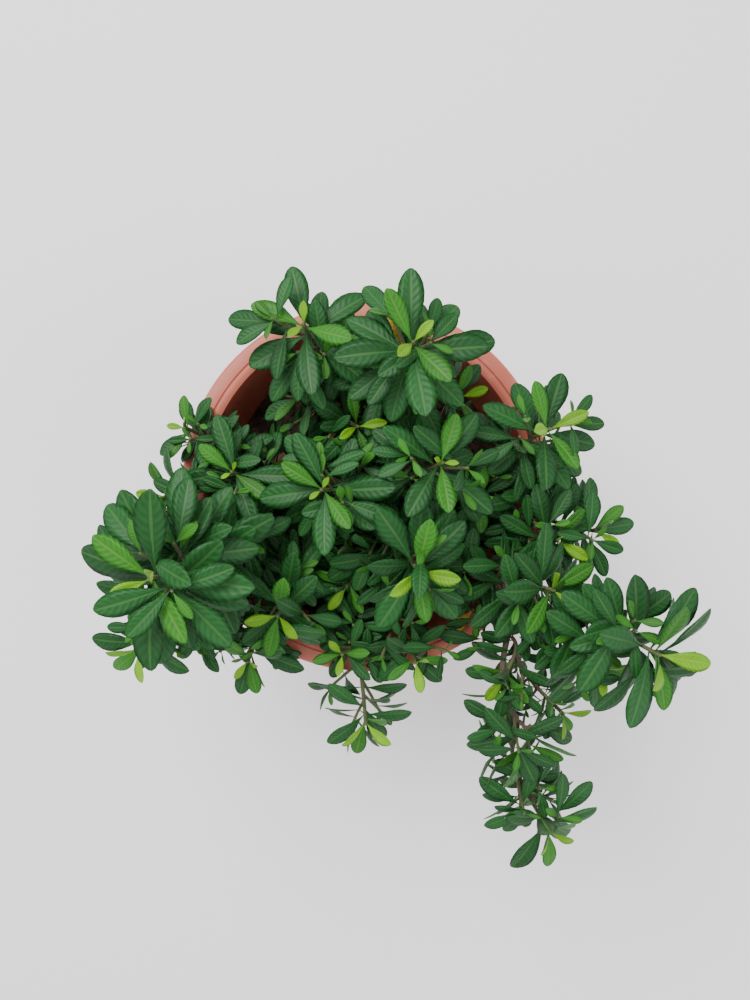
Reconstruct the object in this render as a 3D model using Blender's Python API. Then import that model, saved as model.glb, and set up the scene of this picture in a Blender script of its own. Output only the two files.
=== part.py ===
"""Potted dwarf ixora: a round plastic pot, its soil, a short trunk, tapering boughs and leafy masses.

Metres, +Z up, origin at the centre of the pot's flat underside. A bearing is in degrees, counter-clockwise
from +X as seen from above; a reach is the distance from the pot's axis.
"""

import math
import random
from collections import namedtuple

import bmesh
import bpy
from mathutils import Quaternion, Vector
from mathutils.bvhtree import BVHTree

MM = 0.001
GAP = 0.3 * MM
WELD = 0.01 * MM
SHARP_ANGLE = math.radians(40)

# Pot
POT_HEIGHT = 266 * MM
RIM_RADIUS = 150 * MM
RIM_FLAT = 12.5 * MM
RIM_SKIRT = 30 * MM
GROOVE = 1.2 * MM
RIM_ROUND = 3.5 * MM
SKIRT_DRAFT = 2 * MM
LIP_STEP = 7 * MM
BASE_RADIUS = 98 * MM
FOOT_CHAMFER = 1.5 * MM
FLOOR_CHAMFER = 2 * MM
WALL = 3 * MM
FLOOR = 4 * MM
POT_SIDES = 48
DRAIN_HOLES = 6
DRAIN_SIDES = 10
DRAIN_RADIUS = 5 * MM
DRAIN_CIRCLE = 62 * MM

# Soil
SOIL_HEIGHT = 194 * MM
SOIL_CROWN = 6 * MM
SOIL_FLAT_RADIUS = 24 * MM
SOIL_EDGE = 120.5 * MM
SOIL_CLODS = 2.2 * MM
CLOD_TWIST = 45.0

# Trunk
TRUNK_HEIGHT = 30 * MM
TRUNK_FOOT = 15 * MM
TRUNK_WAIST = 9.5 * MM
TRUNK_CROWN = 10.5 * MM
TRUNK_LEAN = 3 * MM
TRUNK_SIDES = 10

# Boughs and twigs
BOUGH_SIDES = 6
BOUGH_STEPS = 5
STEM_STEPS = 4
SIDE_TWIG_STEPS = 2
TWIG_SIDES = 3
STEM_FOOT = 1.8 * MM
STEM_TIP = 1.6 * MM
TWIG_TIP = 1.5 * MM
WIDEST_FORK_ANGLE = math.radians(80)
PRIMARY_LEAN = math.radians(63)
LOW_BOUGH_LEAN = math.radians(12)
DROOPING = math.radians(112)
CURVE_LEAVING = 0.38
CURVE_ARRIVING = 0.34
KEEPS_ON = 0.35
SECOND_SHOOT_AT = 0.62
LIMB_SHARP_ANGLE = math.radians(50)

# Side twigs
SIDE_TWIG_FIRST = 26 * MM
SIDE_TWIG_PITCH = 15 * MM
SIDE_TWIG_SHORTEST = 20 * MM
SIDE_TWIG_LONGEST = 32 * MM
SIDE_TWIG_RISE = 6 * MM
SIDE_TWIG_LEAF = 0.8
SIDE_TWIG_FLUSH = 0.45
SIDE_TWIG_TRIES = 8

# Leaves
LEAF_WIDTH = 0.46
LEAF_WIDEST_AT = 0.60
LEAF_ROOT_WIDTH = 1.1 * MM
LEAF_ROOT_DEPTH = 0.9 * MM
LEAF_CUP = 0.03
LEAF_CLEARANCE = 0.45 * MM
ROOT_OFF_CENTRE = 0.3 * MM
LEAF_NECK = 0.22
FLATTENED = 0.75
LEAF_DROOP = 0.09
FACES_SKY = 0.8
LEAF_SIZES = (0.98, 1.12)
TILT_DRIFT = 7
SIDE_DRIFT = 8
TURN_DRIFT = 9
MOST_LEAN = math.radians(20)
LEAN_PER_METRE = math.radians(95)

SEED = 41

Bough = namedtuple("Bough", "name grows_from starts_at bearing reach height foot tip")
Shoot = namedtuple("Shoot", "bearing reach height leaf spin flush")
Mass = namedtuple("Mass", "name bough shoots side_twigs")

# Each bough: the limb that it grows from, the bearing in which it leaves the trunk, then where it ends
# (bearing in degrees, reach and height in millimetres) and its radius at its foot and tip.
BOUGHS = (
    Bough("bough_back", "trunk", 90, 92, 62, 262, 4.3, 3.3),
    Bough("bough_left", "trunk", 158, 180, 78, 266, 4.5, 3.5),
    Bough("bough_front_left", "trunk", 217, 228, 88, 268, 4.1, 3.2),
    Bough("bough_front", "trunk", 275, 273, 84, 264, 4.1, 3.2),
    Bough("bough_front_right", "trunk", 331, 320, 94, 268, 4.7, 3.9),
    Bough("bough_right", "trunk", 29, 2, 88, 266, 4.3, 3.4),
    Bough("bough_centre", "trunk", None, 345, 14, 285, 4.1, 3.4),
    Bough("bough_left_high", "bough_left", None, 202, 118, 318, 2.8, 2.5),
    Bough("bough_far_right", "bough_front_right", None, 326, 172, 305, 2.8, 2.5),
    Bough("bough_cascade", "bough_front_right", None, 314, 162, 284, 2.8, 2.7),
    Bough("bough_cascade_low", "bough_cascade", None, 303, 222, 274, 2.5, 2.4),
)

# Each mass: the bough whose tip it grows from, and its shoots. A shoot has the place of its tip, the
# length in millimetres of its full-grown leaves, the bearing of its newest pair of leaves, and the size
# of that pair as a share of a full-grown leaf.
MASSES = (
    Mass("foliage_back_left", "bough_back", (Shoot(111, 123, 352, 50, 65, 0.34),), 3),
    Mass("foliage_back_right", "bough_back", (
        Shoot(71, 102, 385, 52, 45, 0.40),
        Shoot(43, 99, 312, 34, 20, 0.60),
    ), 3),
    Mass("foliage_back_inner", "bough_back", (
        Shoot(126, 89, 298, 38, 150, 0.55),
        Shoot(97, 45, 318, 36, 5, 0.60),
    ), 2),
    Mass("foliage_centre", "bough_centre", (Shoot(186, 31, 355, 46, 55, 0.26),), 3),
    Mass("foliage_centre_right", "bough_centre", (Shoot(16, 57, 362, 47, 0, 0.25),), 3),
    Mass("foliage_front_centre", "bough_centre", (
        Shoot(302, 73, 355, 50, 175, 0.62),
        Shoot(259, 80, 292, 33, 70, 0.70),
    ), 3),
    Mass("foliage_left_upper", "bough_left", (
        Shoot(174, 100, 325, 43, 55, 0.22),
        Shoot(183, 155, 302, 37, 170, 0.60),
    ), 3),
    Mass("foliage_left_back", "bough_left", (Shoot(162, 147, 300, 32, 175, 0.45),), 2),
    Mass("foliage_left_high", "bough_left_high", (Shoot(204, 155, 402, 62, 40, 0.42),), 3),
    Mass("foliage_left_far", "bough_left_high", (
        Shoot(200, 189, 335, 40, 80, 0.35),
        Shoot(216, 213, 312, 44, 310, 0.55),
    ), 3),
    Mass("foliage_front_left", "bough_front_left", (Shoot(236, 118, 318, 42, 350, 0.62),), 3),
    Mass("foliage_front_left_low", "bough_front_left", (
        Shoot(236, 164, 296, 39, 30, 0.40),
        Shoot(221, 179, 305, 32, 90, 0.50),
    ), 2),
    Mass("foliage_front_low", "bough_front", (
        Shoot(270, 186, 290, 39, 340, 0.60),
        Shoot(262, 132, 296, 30, 100, 0.60),
    ), 2),
    Mass("foliage_front_side", "bough_front", (Shoot(286, 141, 300, 33, 265, 0.75),), 2),
    Mass("foliage_right_back", "bough_right", (Shoot(17, 141, 340, 45, 30, 0.60),), 3),
    Mass("foliage_right_inner", "bough_right", (Shoot(354, 89, 302, 33, 0, 0.30),), 2),
    Mass("foliage_right_far", "bough_right", (
        Shoot(344, 151, 315, 40, 150, 0.60),
        Shoot(349, 182, 302, 40, 320, 0.50),
    ), 2),
    Mass("foliage_right_front", "bough_front_right", (Shoot(331, 156, 345, 46, 130, 0.58),), 3),
    Mass("foliage_far_right", "bough_far_right", (Shoot(330, 238, 365, 52, 5, 0.65),), 3),
    Mass("foliage_far_right_low", "bough_far_right", (Shoot(322, 225, 312, 42, 60, 0.50),), 2),
    Mass("foliage_cascade_inner", "bough_cascade", (
        Shoot(306, 183, 296, 35, 70, 0.70),
        Shoot(311, 242, 272, 30, 20, 0.70),
    ), 2),
    Mass("foliage_cascade_middle", "bough_cascade_low", (Shoot(302, 250, 268, 41, 85, 0.60),), 2),
    Mass("foliage_cascade_end", "bough_cascade_low", (
        Shoot(298, 325, 250, 47, 350, 0.45),
        Shoot(296, 302, 240, 36, 190, 0.50),
    ), 2),
)

# One pair of leaves after another, from the bud down: how far below the bud it leaves the twig, in
# millimetres, its size as a share of a full-grown leaf (None: the shoot's own flush), and in degrees how
# far it leans away from the twig and how far it is turned from the newest pair.
PAIRS = (
    (1.2, None, 40, 0),
    (4.5, 0.76, 58, 90),
    (9.0, 0.97, 68, 45),
    (15.0, 1.00, 78, 135),
    (23.0, 0.94, 88, 90),
)
SIDE_TWIG_PAIRS = (PAIRS[0], PAIRS[2])


def start_clean():
    """Empties the file that Blender opened with."""
    for thing in list(bpy.data.objects):
        bpy.data.objects.remove(thing, do_unlink=True)


def material(name, colour, roughness):
    """A plain principled material."""
    made = bpy.data.materials.new(name)
    made.use_nodes = True
    shader = made.node_tree.nodes["Principled BSDF"]
    shader.inputs["Base Color"].default_value = (*colour, 1.0)
    shader.inputs["Roughness"].default_value = roughness
    shader.inputs["Metallic"].default_value = 0.0
    return made


def object_of(name, points, faces, finish, smooth_angle=None):
    """A mesh object from its points and faces, linked to the scene."""
    mesh = bpy.data.meshes.new(name)
    mesh.from_pydata([tuple(p) for p in points], [], faces)
    mesh.validate()
    mesh.materials.append(finish)
    if smooth_angle is not None:
        mesh.shade_smooth()
        mesh.set_sharp_from_angle(angle=smooth_angle)
    made = bpy.data.objects.new(name, mesh)
    bpy.context.scene.collection.objects.link(made)
    return made


def place(bearing, reach_mm, height_mm):
    """The point at that bearing, reach and height."""
    turn = math.radians(bearing)
    return Vector((reach_mm * MM * math.cos(turn), reach_mm * MM * math.sin(turn), height_mm * MM))


def outward(bearing, lean):
    """The direction that leans from straight up towards a bearing."""
    turn = math.radians(bearing)
    return Vector((math.sin(lean) * math.cos(turn), math.sin(lean) * math.sin(turn), math.cos(lean)))


# Pot and soil


def turned(name, profile, finish):
    """A closed solid: a profile of (radius, height), from axis to axis, spun round Z."""
    work = bmesh.new()
    points = [work.verts.new((radius, 0, height)) for radius, height in profile]
    edges = [work.edges.new(pair) for pair in zip(points, points[1:])]
    bmesh.ops.spin(
        work,
        geom=points + edges,
        axis=(0, 0, 1),
        cent=(0, 0, 0),
        angle=2 * math.pi,
        steps=POT_SIDES,
        use_merge=True,
    )
    bmesh.ops.remove_doubles(work, verts=work.verts, dist=WELD)
    bmesh.ops.recalc_face_normals(work, faces=work.faces)
    made = bpy.data.objects.new(name, bpy.data.meshes.new(name))
    work.to_mesh(made.data)
    work.free()
    made.data.materials.append(finish)
    made.data.shade_smooth()
    made.data.set_sharp_from_angle(angle=SHARP_ANGLE)
    bpy.context.scene.collection.objects.link(made)
    return made


def wall_radius(height):
    """Outer radius of the pot's tapering wall."""
    neck = RIM_RADIUS - RIM_FLAT - LIP_STEP + WALL
    return BASE_RADIUS + (neck - BASE_RADIUS) * height / POT_HEIGHT


def pot_profile():
    """The pot's half section, from the middle of its underside, up the outside and down the inside."""
    top = POT_HEIGHT
    skirt = top - RIM_SKIRT
    flat = RIM_RADIUS - RIM_FLAT
    return [
        (0.0, 0.0),
        (BASE_RADIUS - FOOT_CHAMFER, 0.0),
        (BASE_RADIUS, FOOT_CHAMFER),
        (wall_radius(skirt + WALL), skirt + WALL),
        (RIM_RADIUS - WALL - SKIRT_DRAFT, skirt + WALL),
        (RIM_RADIUS - WALL - SKIRT_DRAFT, skirt),
        (RIM_RADIUS - SKIRT_DRAFT, skirt),
        (RIM_RADIUS, top - RIM_ROUND),
        (RIM_RADIUS - 0.35 * RIM_ROUND, top - 0.35 * RIM_ROUND),
        (RIM_RADIUS - RIM_ROUND, top),
        (flat + GROOVE, top),
        (flat + 0.5 * GROOVE, top - GROOVE),
        (flat - 0.5 * GROOVE, top - 0.4 * GROOVE),
        (flat - LIP_STEP, top - RIM_ROUND),
        (wall_radius(skirt) - WALL, skirt),
        (inner_radius(FLOOR + FLOOR_CHAMFER), FLOOR + FLOOR_CHAMFER),
        (inner_radius(FLOOR) - FLOOR_CHAMFER, FLOOR),
        (0.0, FLOOR),
    ]


def inner_radius(height):
    """Radius of the pot's inside at a height below its skirt."""
    return wall_radius(height) - WALL


def make_pot(finish):
    """The pot, with its drain holes cut through the floor."""
    pot = turned("pot", pot_profile(), finish)
    step = 2 * math.pi / DRAIN_HOLES
    for i in range(DRAIN_HOLES):
        bpy.ops.mesh.primitive_cylinder_add(
            vertices=DRAIN_SIDES,
            radius=DRAIN_RADIUS,
            depth=4 * FLOOR,
            location=(DRAIN_CIRCLE * math.cos(i * step), DRAIN_CIRCLE * math.sin(i * step), FLOOR / 2),
        )
        cutter = bpy.context.object
        drill = pot.modifiers.new("drain_hole", "BOOLEAN")
        drill.operation = "DIFFERENCE"
        drill.solver = "EXACT"
        drill.object = cutter
        bake(pot)
        bpy.data.objects.remove(cutter, do_unlink=True)
    return pot


def soil_height(x, y):
    """Height of the soil: a low mound with a level seat for the trunk and small clods round it."""
    radius = math.hypot(x, y)
    turn = math.atan2(y, x)
    share = (radius - SOIL_FLAT_RADIUS) / (SOIL_EDGE - SOIL_FLAT_RADIUS)
    share = min(1.0, max(0.0, share))
    clods = math.sin(3 * turn + CLOD_TWIST * radius) * math.cos(5 * turn - 2 * CLOD_TWIST * radius)
    return SOIL_HEIGHT + SOIL_CROWN * (1 - share**2) + 4 * SOIL_CLODS * clods * share * (1 - share)


def make_soil(finish):
    """The soil that fills the pot, its top a little mounded and rough."""
    low = FLOOR + FLOOR_CHAMFER
    profile = [(0.0, FLOOR + GAP), (inner_radius(FLOOR) - FLOOR_CHAMFER - GAP, FLOOR + GAP)]
    profile += [(inner_radius(low) - GAP, low), (SOIL_EDGE, SOIL_HEIGHT)]
    span = SOIL_EDGE - SOIL_FLAT_RADIUS
    profile += [(SOIL_FLAT_RADIUS + span * share, SOIL_HEIGHT) for share in (0.78, 0.5, 0.22, 0.0)]
    profile.append((0.0, SOIL_HEIGHT))
    soil = turned("soil", profile, finish)
    for vertex in soil.data.vertices:
        if vertex.co.z > SOIL_HEIGHT - WELD:
            vertex.co.z = soil_height(vertex.co.x, vertex.co.y)
    return soil


# Limbs


def curve(start, start_direction, end, end_direction, steps):
    """Points of a smooth curve that leaves start and reaches end in the given directions."""
    span = (end - start).length
    a = start + start_direction * span * CURVE_LEAVING
    b = end - end_direction * span * CURVE_ARRIVING
    found = []
    for i in range(steps + 1):
        t = i / steps
        s = 1 - t
        found.append(start * s**3 + a * 3 * s * s * t + b * 3 * s * t * t + end * t**3)
    return found


def tube(path, radii, sides, first_normal=None, round_tip=False):
    """Points and faces of a closed tapering tube: flat at its foot, flat or rounded at its tip."""
    headings = []
    for i in range(len(path)):
        ahead = path[min(i + 1, len(path) - 1)] - path[max(i - 1, 0)]
        headings.append(ahead.normalized())
    if first_normal is not None:
        headings[0] = first_normal.normalized()
    stations = list(zip(path, headings, radii))
    if round_tip:
        point, heading, radius = stations[-1]
        for angle in (42, 74):
            rise = math.radians(angle)
            stations.append((point + heading * radius * math.sin(rise), heading, radius * math.cos(rise)))
    side = headings[0].orthogonal().normalized()
    points, faces = [], []
    before = headings[0]
    for point, heading, radius in stations:
        side = before.rotation_difference(heading) @ side
        side = (side - heading * side.dot(heading)).normalized()
        across = heading.cross(side)
        before = heading
        for i in range(sides):
            turn = 2 * math.pi * i / sides
            points.append(point + radius * (side * math.cos(turn) + across * math.sin(turn)))
    for row in range(len(stations) - 1):
        for i in range(sides):
            j = (i + 1) % sides
            faces.append((row * sides + i, row * sides + j, (row + 1) * sides + j, (row + 1) * sides + i))
    faces.append(tuple(range(sides))[::-1])
    last = (len(stations) - 1) * sides
    if round_tip:
        points.append(path[-1] + headings[-1] * radii[-1])
        faces += [(last + i, last + (i + 1) % sides, len(points) - 1) for i in range(sides)]
    else:
        faces.append(tuple(range(last, last + sides)))
    return points, faces


def tapering(start, end, count):
    """Radii from start to end, evenly."""
    return [start + (end - start) * i / (count - 1) for i in range(count)]


def spread_apart(wanted, feet, heading, radius):
    """Directions as near the wanted ones as leaves each foot, of that radius, clear of the next."""
    found = [d.normalized() for d in wanted]
    shares = [math.atan((foot + GAP) / radius) for foot in feet]
    for _ in range(80):
        for i in range(len(found)):
            for j in range(i + 1, len(found)):
                short = shares[i] + shares[j] - found[i].angle(found[j])
                if short > 0:
                    axis = found[i].cross(found[j])
                    if axis.length < 1e-6:
                        axis = heading.orthogonal()
                    found[i] = Quaternion(axis, -short / 2 - 0.004) @ found[i]
                    found[j] = Quaternion(axis, short / 2 + 0.004) @ found[j]
        for i, direction in enumerate(found):
            if heading.angle(direction) > WIDEST_FORK_ANGLE:
                found[i] = Quaternion(heading.cross(direction), WIDEST_FORK_ANGLE) @ heading
    return found


class Solids:
    """Every piece placed so far, each with its owner, kept to tell what a new piece would touch."""

    def __init__(self):
        self.kept = []

    def add(self, owner, points, faces):
        low = [min(p[k] for p in points) for k in range(3)]
        high = [max(p[k] for p in points) for k in range(3)]
        self.kept.append((owner, low, high, BVHTree.FromPolygons(points, faces)))

    def touched(self, owner, points, faces):
        """The owner of a piece that these faces would cut, or None. A mass may cut itself."""
        low = [min(p[k] for p in points) for k in range(3)]
        high = [max(p[k] for p in points) for k in range(3)]
        own = None
        for other, lowest, highest, tree in self.kept:
            if other == owner or any(low[k] > highest[k] or high[k] < lowest[k] for k in range(3)):
                continue
            own = own or BVHTree.FromPolygons(points, faces)
            if own.overlap(tree):
                return other
        return None


def swept_clear(solids, owner, path, radii):
    """What a limb along this path would touch, with its clearance."""
    wide = [radii[0] + 0.7 * GAP] + [r + 2 * GAP for r in radii[1:]]
    points, faces = tube(path, wide, BOUGH_SIDES)
    return solids.touched(owner, points, faces)


def clear_curve(solids, owner, start, start_direction, end, end_direction, radii):
    """The first of several slightly different curves that touches nothing."""
    steps = len(radii) - 1
    axis = (end - start).normalized()
    for swing in (0, 12, -12, 24, -24, 36, -36, 48, -48):
        for tilt in (0, 14, -14, 28):
            turned_end = Quaternion(axis, math.radians(swing)) @ end_direction
            turned_end = Quaternion(axis.orthogonal(), math.radians(tilt)) @ turned_end
            path = curve(start, start_direction, end, turned_end.normalized(), steps)
            if swept_clear(solids, owner, path, radii) is None:
                return path
    raise RuntimeError(f"{owner}: no clear way to its tip")


# Trunk and boughs


def trunk_path():
    """Centre line of the short trunk, from the soil to the crown that the boughs leave."""
    foot = SOIL_HEIGHT + SOIL_CROWN + GAP
    shares = (0.0, 0.16, 0.45, 1.0)
    return [Vector((TRUNK_LEAN * s, -TRUNK_LEAN * s * s, foot + TRUNK_HEIGHT * s)) for s in shares]


def fork_children(name):
    """What grows from the tip of a limb: boughs first, then the stems of masses. Each has its name, its
    aim and the radius of its foot."""
    boughs = [b for b in BOUGHS if b.grows_from == name]
    found = [(b.name, place(b.bearing, b.reach, b.height), b.foot * MM) for b in boughs]
    for mass in MASSES:
        if mass.bough == name:
            buds = [place(s.bearing, s.reach, s.height) for s in mass.shoots]
            found.append((mass.name, sum(buds, Vector()) / len(buds), STEM_FOOT))
    return found


def forks_of(name, tip, heading, radius):
    """The direction in which each child of a limb leaves its rounded tip."""
    children = fork_children(name)
    wanted = [(aim - tip).normalized() + heading * KEEPS_ON for _, aim, _ in children]
    found = spread_apart(wanted, [foot for _, _, foot in children], heading, radius + GAP)
    return {child[0]: direction for child, direction in zip(children, found)}


def make_limbs(finish, solids):
    """The trunk and all boughs. Returns, for each, the centre and radius of its tip, and for each child
    the direction in which it leaves."""
    path = trunk_path()
    radii = (TRUNK_FOOT, TRUNK_FOOT * 0.80, TRUNK_WAIST, TRUNK_CROWN)
    points, faces = tube(path, radii, TRUNK_SIDES, Vector((0, 0, 1)), round_tip=True)
    object_of("trunk", points, faces, finish, LIMB_SHARP_ANGLE)
    solids.add("trunk", points, faces)
    tips = {"trunk": (path[-1], TRUNK_CROWN)}
    leaving = {}
    for bough in BOUGHS:
        tip, radius = tips[bough.grows_from]
        if bough.grows_from == "trunk":
            lean = PRIMARY_LEAN if bough.starts_at is not None else 0.0
            leaving[bough.name] = outward(bough.starts_at or 0, lean)
        away = leaving[bough.name]
        start = tip + away * (radius + GAP)
        end = place(bough.bearing, bough.reach, bough.height)
        finish_lean = min(MOST_LEAN, LEAN_PER_METRE * bough.reach * MM)
        if bough.height < POT_HEIGHT:
            finish_lean += LOW_BOUGH_LEAN
        if end.z < start.z:
            finish_lean = DROOPING
        thickness = tapering(bough.foot * MM, bough.tip * MM, BOUGH_STEPS + 1)
        arriving = outward(bough.bearing, finish_lean)
        line = clear_curve(solids, bough.name, start, away, end, arriving, thickness)
        points, faces = tube(line, thickness, BOUGH_SIDES, away, round_tip=True)
        object_of(bough.name, points, faces, finish, LIMB_SHARP_ANGLE)
        solids.add(bough.name, points, faces)
        tips[bough.name] = (line[-1], thickness[-1])
        heading = (line[-1] - line[-2]).normalized()
        leaving.update(forks_of(bough.name, line[-1], heading, thickness[-1]))
    return tips, leaving


# Leaves and masses


def leaf_shape(root, direction, face_up, length, grow=0.0, from_share=0.0):
    """Points and faces of one leaf of eight faces: a three-cornered root, two widest points and a tip.
    grow makes it a little larger all round and from_share leaves out the part next to the twig, both to
    test what it would touch."""
    along = direction.normalized()
    across = along.cross(face_up).normalized()
    up = across.cross(along)
    half = LEAF_WIDTH * length / 2 + grow
    foot = root + along * from_share * length
    wide = root + along * LEAF_WIDEST_AT * length + up * (LEAF_CUP * length + grow)
    root_half = LEAF_ROOT_WIDTH / 2 + half * from_share / LEAF_WIDEST_AT + grow
    points = [
        foot - across * root_half + up * (0.35 * LEAF_ROOT_DEPTH + grow),
        foot + across * root_half + up * (0.35 * LEAF_ROOT_DEPTH + grow),
        foot - up * (0.65 * LEAF_ROOT_DEPTH + grow),
        wide - across * half,
        wide + across * half,
        root + along * (length + grow),
    ]
    faces = [(0, 2, 1), (0, 1, 4), (0, 4, 3), (3, 4, 5), (2, 3, 5), (2, 5, 4), (0, 3, 2), (1, 2, 4)]
    return points, faces


class Twig:
    """One tapering twig, and the way along it."""

    def __init__(self, path, foot, tip):
        self.path = path
        self.radii = tapering(foot, tip, len(path))
        self.length = sum((b - a).length for a, b in zip(path, path[1:]))

    def at(self, below_tip):
        """The point and heading that far back from the tip."""
        left = below_tip
        for a, b in zip(self.path[::-1], self.path[-2::-1]):
            step = (b - a).length
            if left <= step:
                return a + (b - a) * left / step, (a - b).normalized()
            left -= step
        return self.path[0], (self.path[1] - self.path[0]).normalized()


class Foliage:
    """One mass as it grows: its twigs and leaves, each a closed piece, in their own object each."""

    def __init__(self, mass, index, solids):
        self.mass = mass
        self.rule = random.Random(SEED + index)
        self.solids = solids
        self.own = Solids()
        self.pieces = []
        self.twigs = []

    def add(self, points, faces, own=None):
        """Keeps a piece. own is the shape that later leaves of this mass must stay clear of."""
        self.pieces.append((points, faces))
        self.solids.add(self.mass.name, points, faces)
        self.own.add("own", *(own or (points, faces)))

    def add_leaf(self, point, heading, level, tilt, size):
        """Grows a leaf at that point of a twig, swung a little aside where another piece is in its way,
        and left out where it would touch one anyway."""
        for swing, rise in ((0, 0), (0, 7), (0, -7), (12, 0), (-12, 0), (18, 6), (-18, 6), (26, 0), (-26, 0)):
            side = Quaternion(heading, math.radians(swing)) @ level
            angle = tilt + math.radians(rise)
            direction = heading * math.cos(angle) + side * math.sin(angle)
            direction.z = direction.z * FLATTENED - LEAF_DROOP
            face_up = heading * math.sin(angle) - side * math.cos(angle) + Vector((0, 0, FACES_SKY))
            root = point + side * ROOT_OFF_CENTRE
            outer = leaf_shape(root, direction, face_up, size, LEAF_CLEARANCE, LEAF_NECK)
            if self.own.touched("", *outer):
                continue
            whole = leaf_shape(root, direction, face_up, size, LEAF_CLEARANCE)
            if self.solids.touched(self.mass.name, *whole):
                continue
            self.add(*leaf_shape(root, direction, face_up, size), own=outer)
            return

    def grow_stem(self, tip, radius, away):
        """The stem, which starts 0.3 mm from its bough and runs to the first shoot, and one twig from it
        to each other shoot."""
        start = tip + away * (radius + GAP)
        for number, shoot in enumerate(self.mass.shoots):
            end = place(shoot.bearing, shoot.reach, shoot.height)
            end_direction = outward(shoot.bearing, shoot_lean(shoot))
            if number:
                main = self.twigs[0][0]
                start, heading = main.at(main.length * SECOND_SHOOT_AT)
                away = (heading / 2 + (end - start).normalized()).normalized()
            radii = tapering(STEM_FOOT, STEM_TIP, STEM_STEPS + 1)
            path = clear_curve(self.solids, self.mass.name, start, away, end, end_direction, radii)
            twig = Twig(path, STEM_FOOT, STEM_TIP)
            self.twigs.append((twig, shoot))
            self.add(*tube(path, twig.radii, TWIG_SIDES, away))

    def grow_pairs(self, twig, leaf, spin, flush, pairs):
        """Pairs of opposite leaves down a twig, each pair turned from the last."""
        for below, share, lean, turn in pairs:
            point, heading = twig.at(below * MM)
            east = Vector((1, 0, 0)) - heading * heading.x
            east.normalize()
            turn += self.rule.uniform(-TURN_DRIFT, TURN_DRIFT)
            for side in (0, 180):
                size = leaf * MM * (share or flush) * self.rule.uniform(*LEAF_SIZES)
                tilt = math.radians(lean + self.rule.uniform(-TILT_DRIFT, TILT_DRIFT))
                bearing = spin + turn + side + self.rule.uniform(-SIDE_DRIFT, SIDE_DRIFT)
                level = Quaternion(heading, math.radians(bearing)) @ east
                self.add_leaf(point, heading, level, tilt, size)

    def grow_side_twigs(self):
        """Short twigs that leave the stem lower down, each with a few leaves of its own."""
        for number in range(self.mass.side_twigs):
            stem, shoot = self.twigs[number % len(self.twigs)]
            below = SIDE_TWIG_FIRST + SIDE_TWIG_PITCH * number
            if below > stem.length * 0.8:
                continue
            point, heading = stem.at(below)
            turn = self.rule.uniform(0, 2 * math.pi)
            for _ in range(SIDE_TWIG_TRIES):
                level = Quaternion(heading, turn) @ heading.orthogonal().normalized()
                direction = (heading * 0.75 + level).normalized()
                length = self.rule.uniform(SIDE_TWIG_SHORTEST, SIDE_TWIG_LONGEST)
                end = point + direction * length + Vector((0, 0, SIDE_TWIG_RISE))
                rising = (direction + Vector((0, 0, 0.5))).normalized()
                path = curve(point, direction, end, rising, SIDE_TWIG_STEPS)
                wide = tube(path, [STEM_TIP + 2 * GAP] * len(path), TWIG_SIDES)
                if end.z > SOIL_HEIGHT + SOIL_CROWN and self.solids.touched(self.mass.name, *wide) is None:
                    break
                turn += math.radians(47)
            else:
                continue
            twig = Twig(path, STEM_TIP, TWIG_TIP)
            self.add(*tube(path, twig.radii, TWIG_SIDES))
            leaf = shoot.leaf * SIDE_TWIG_LEAF
            self.grow_pairs(twig, leaf, math.degrees(turn), SIDE_TWIG_FLUSH, SIDE_TWIG_PAIRS)

    def fuse(self, finish):
        """All pieces joined by one union, then loose scraps and sealed hollows left out."""
        parts = bpy.data.collections.new(self.mass.name + "_pieces")
        bpy.context.scene.collection.children.link(parts)
        stem = object_of(self.mass.name, *self.pieces[0], finish)
        for number, (points, faces) in enumerate(self.pieces[1:]):
            piece = object_of(f"{self.mass.name}_piece_{number}", points, faces, finish)
            bpy.context.scene.collection.objects.unlink(piece)
            parts.objects.link(piece)
        join = stem.modifiers.new("join", "BOOLEAN")
        join.operation = "UNION"
        join.solver = "EXACT"
        join.operand_type = "COLLECTION"
        join.collection = parts
        bake(stem)
        for piece in list(parts.objects):
            bpy.data.objects.remove(piece, do_unlink=True)
        bpy.data.collections.remove(parts)
        keep_largest_body(stem)
        return stem


def shoot_lean(shoot):
    """How far a shoot leans outwards: the further out, the more."""
    return min(MOST_LEAN, LEAN_PER_METRE * shoot.reach * MM)


def bake(thing):
    """Applies an object's modifiers."""
    bpy.context.view_layer.update()
    graph = bpy.context.evaluated_depsgraph_get()
    made = bpy.data.meshes.new_from_object(thing.evaluated_get(graph))
    thing.modifiers.clear()
    thing.data = made


def keep_largest_body(thing):
    """Drops every connected body but the largest: what fusing left loose, and sealed hollows."""
    work = bmesh.new()
    work.from_mesh(thing.data)
    bmesh.ops.triangulate(work, faces=work.faces)
    left, bodies = set(work.verts), []
    while left:
        seed = left.pop()
        body, edge = {seed}, [seed]
        while edge:
            for link in edge.pop().link_edges:
                for other in link.verts:
                    if other not in body:
                        body.add(other)
                        edge.append(other)
        left -= body
        bodies.append(body)
    largest = max(bodies, key=len)
    bmesh.ops.delete(work, geom=[v for v in work.verts if v not in largest], context="VERTS")
    work.to_mesh(thing.data)
    work.free()


def make_foliage(finish, solids, tips, leaving):
    """All masses: every stem first, then the leaves round every bud, then the twigs below them."""
    grown = [Foliage(mass, index, solids) for index, mass in enumerate(MASSES)]
    for foliage in grown:
        tip, radius = tips[foliage.mass.bough]
        foliage.grow_stem(tip, radius, leaving[foliage.mass.name])
    for foliage in grown:
        for twig, shoot in foliage.twigs:
            foliage.grow_pairs(twig, shoot.leaf, shoot.spin, shoot.flush, PAIRS)
    for foliage in grown:
        foliage.grow_side_twigs()
    for foliage in grown:
        foliage.fuse(finish)


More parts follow.
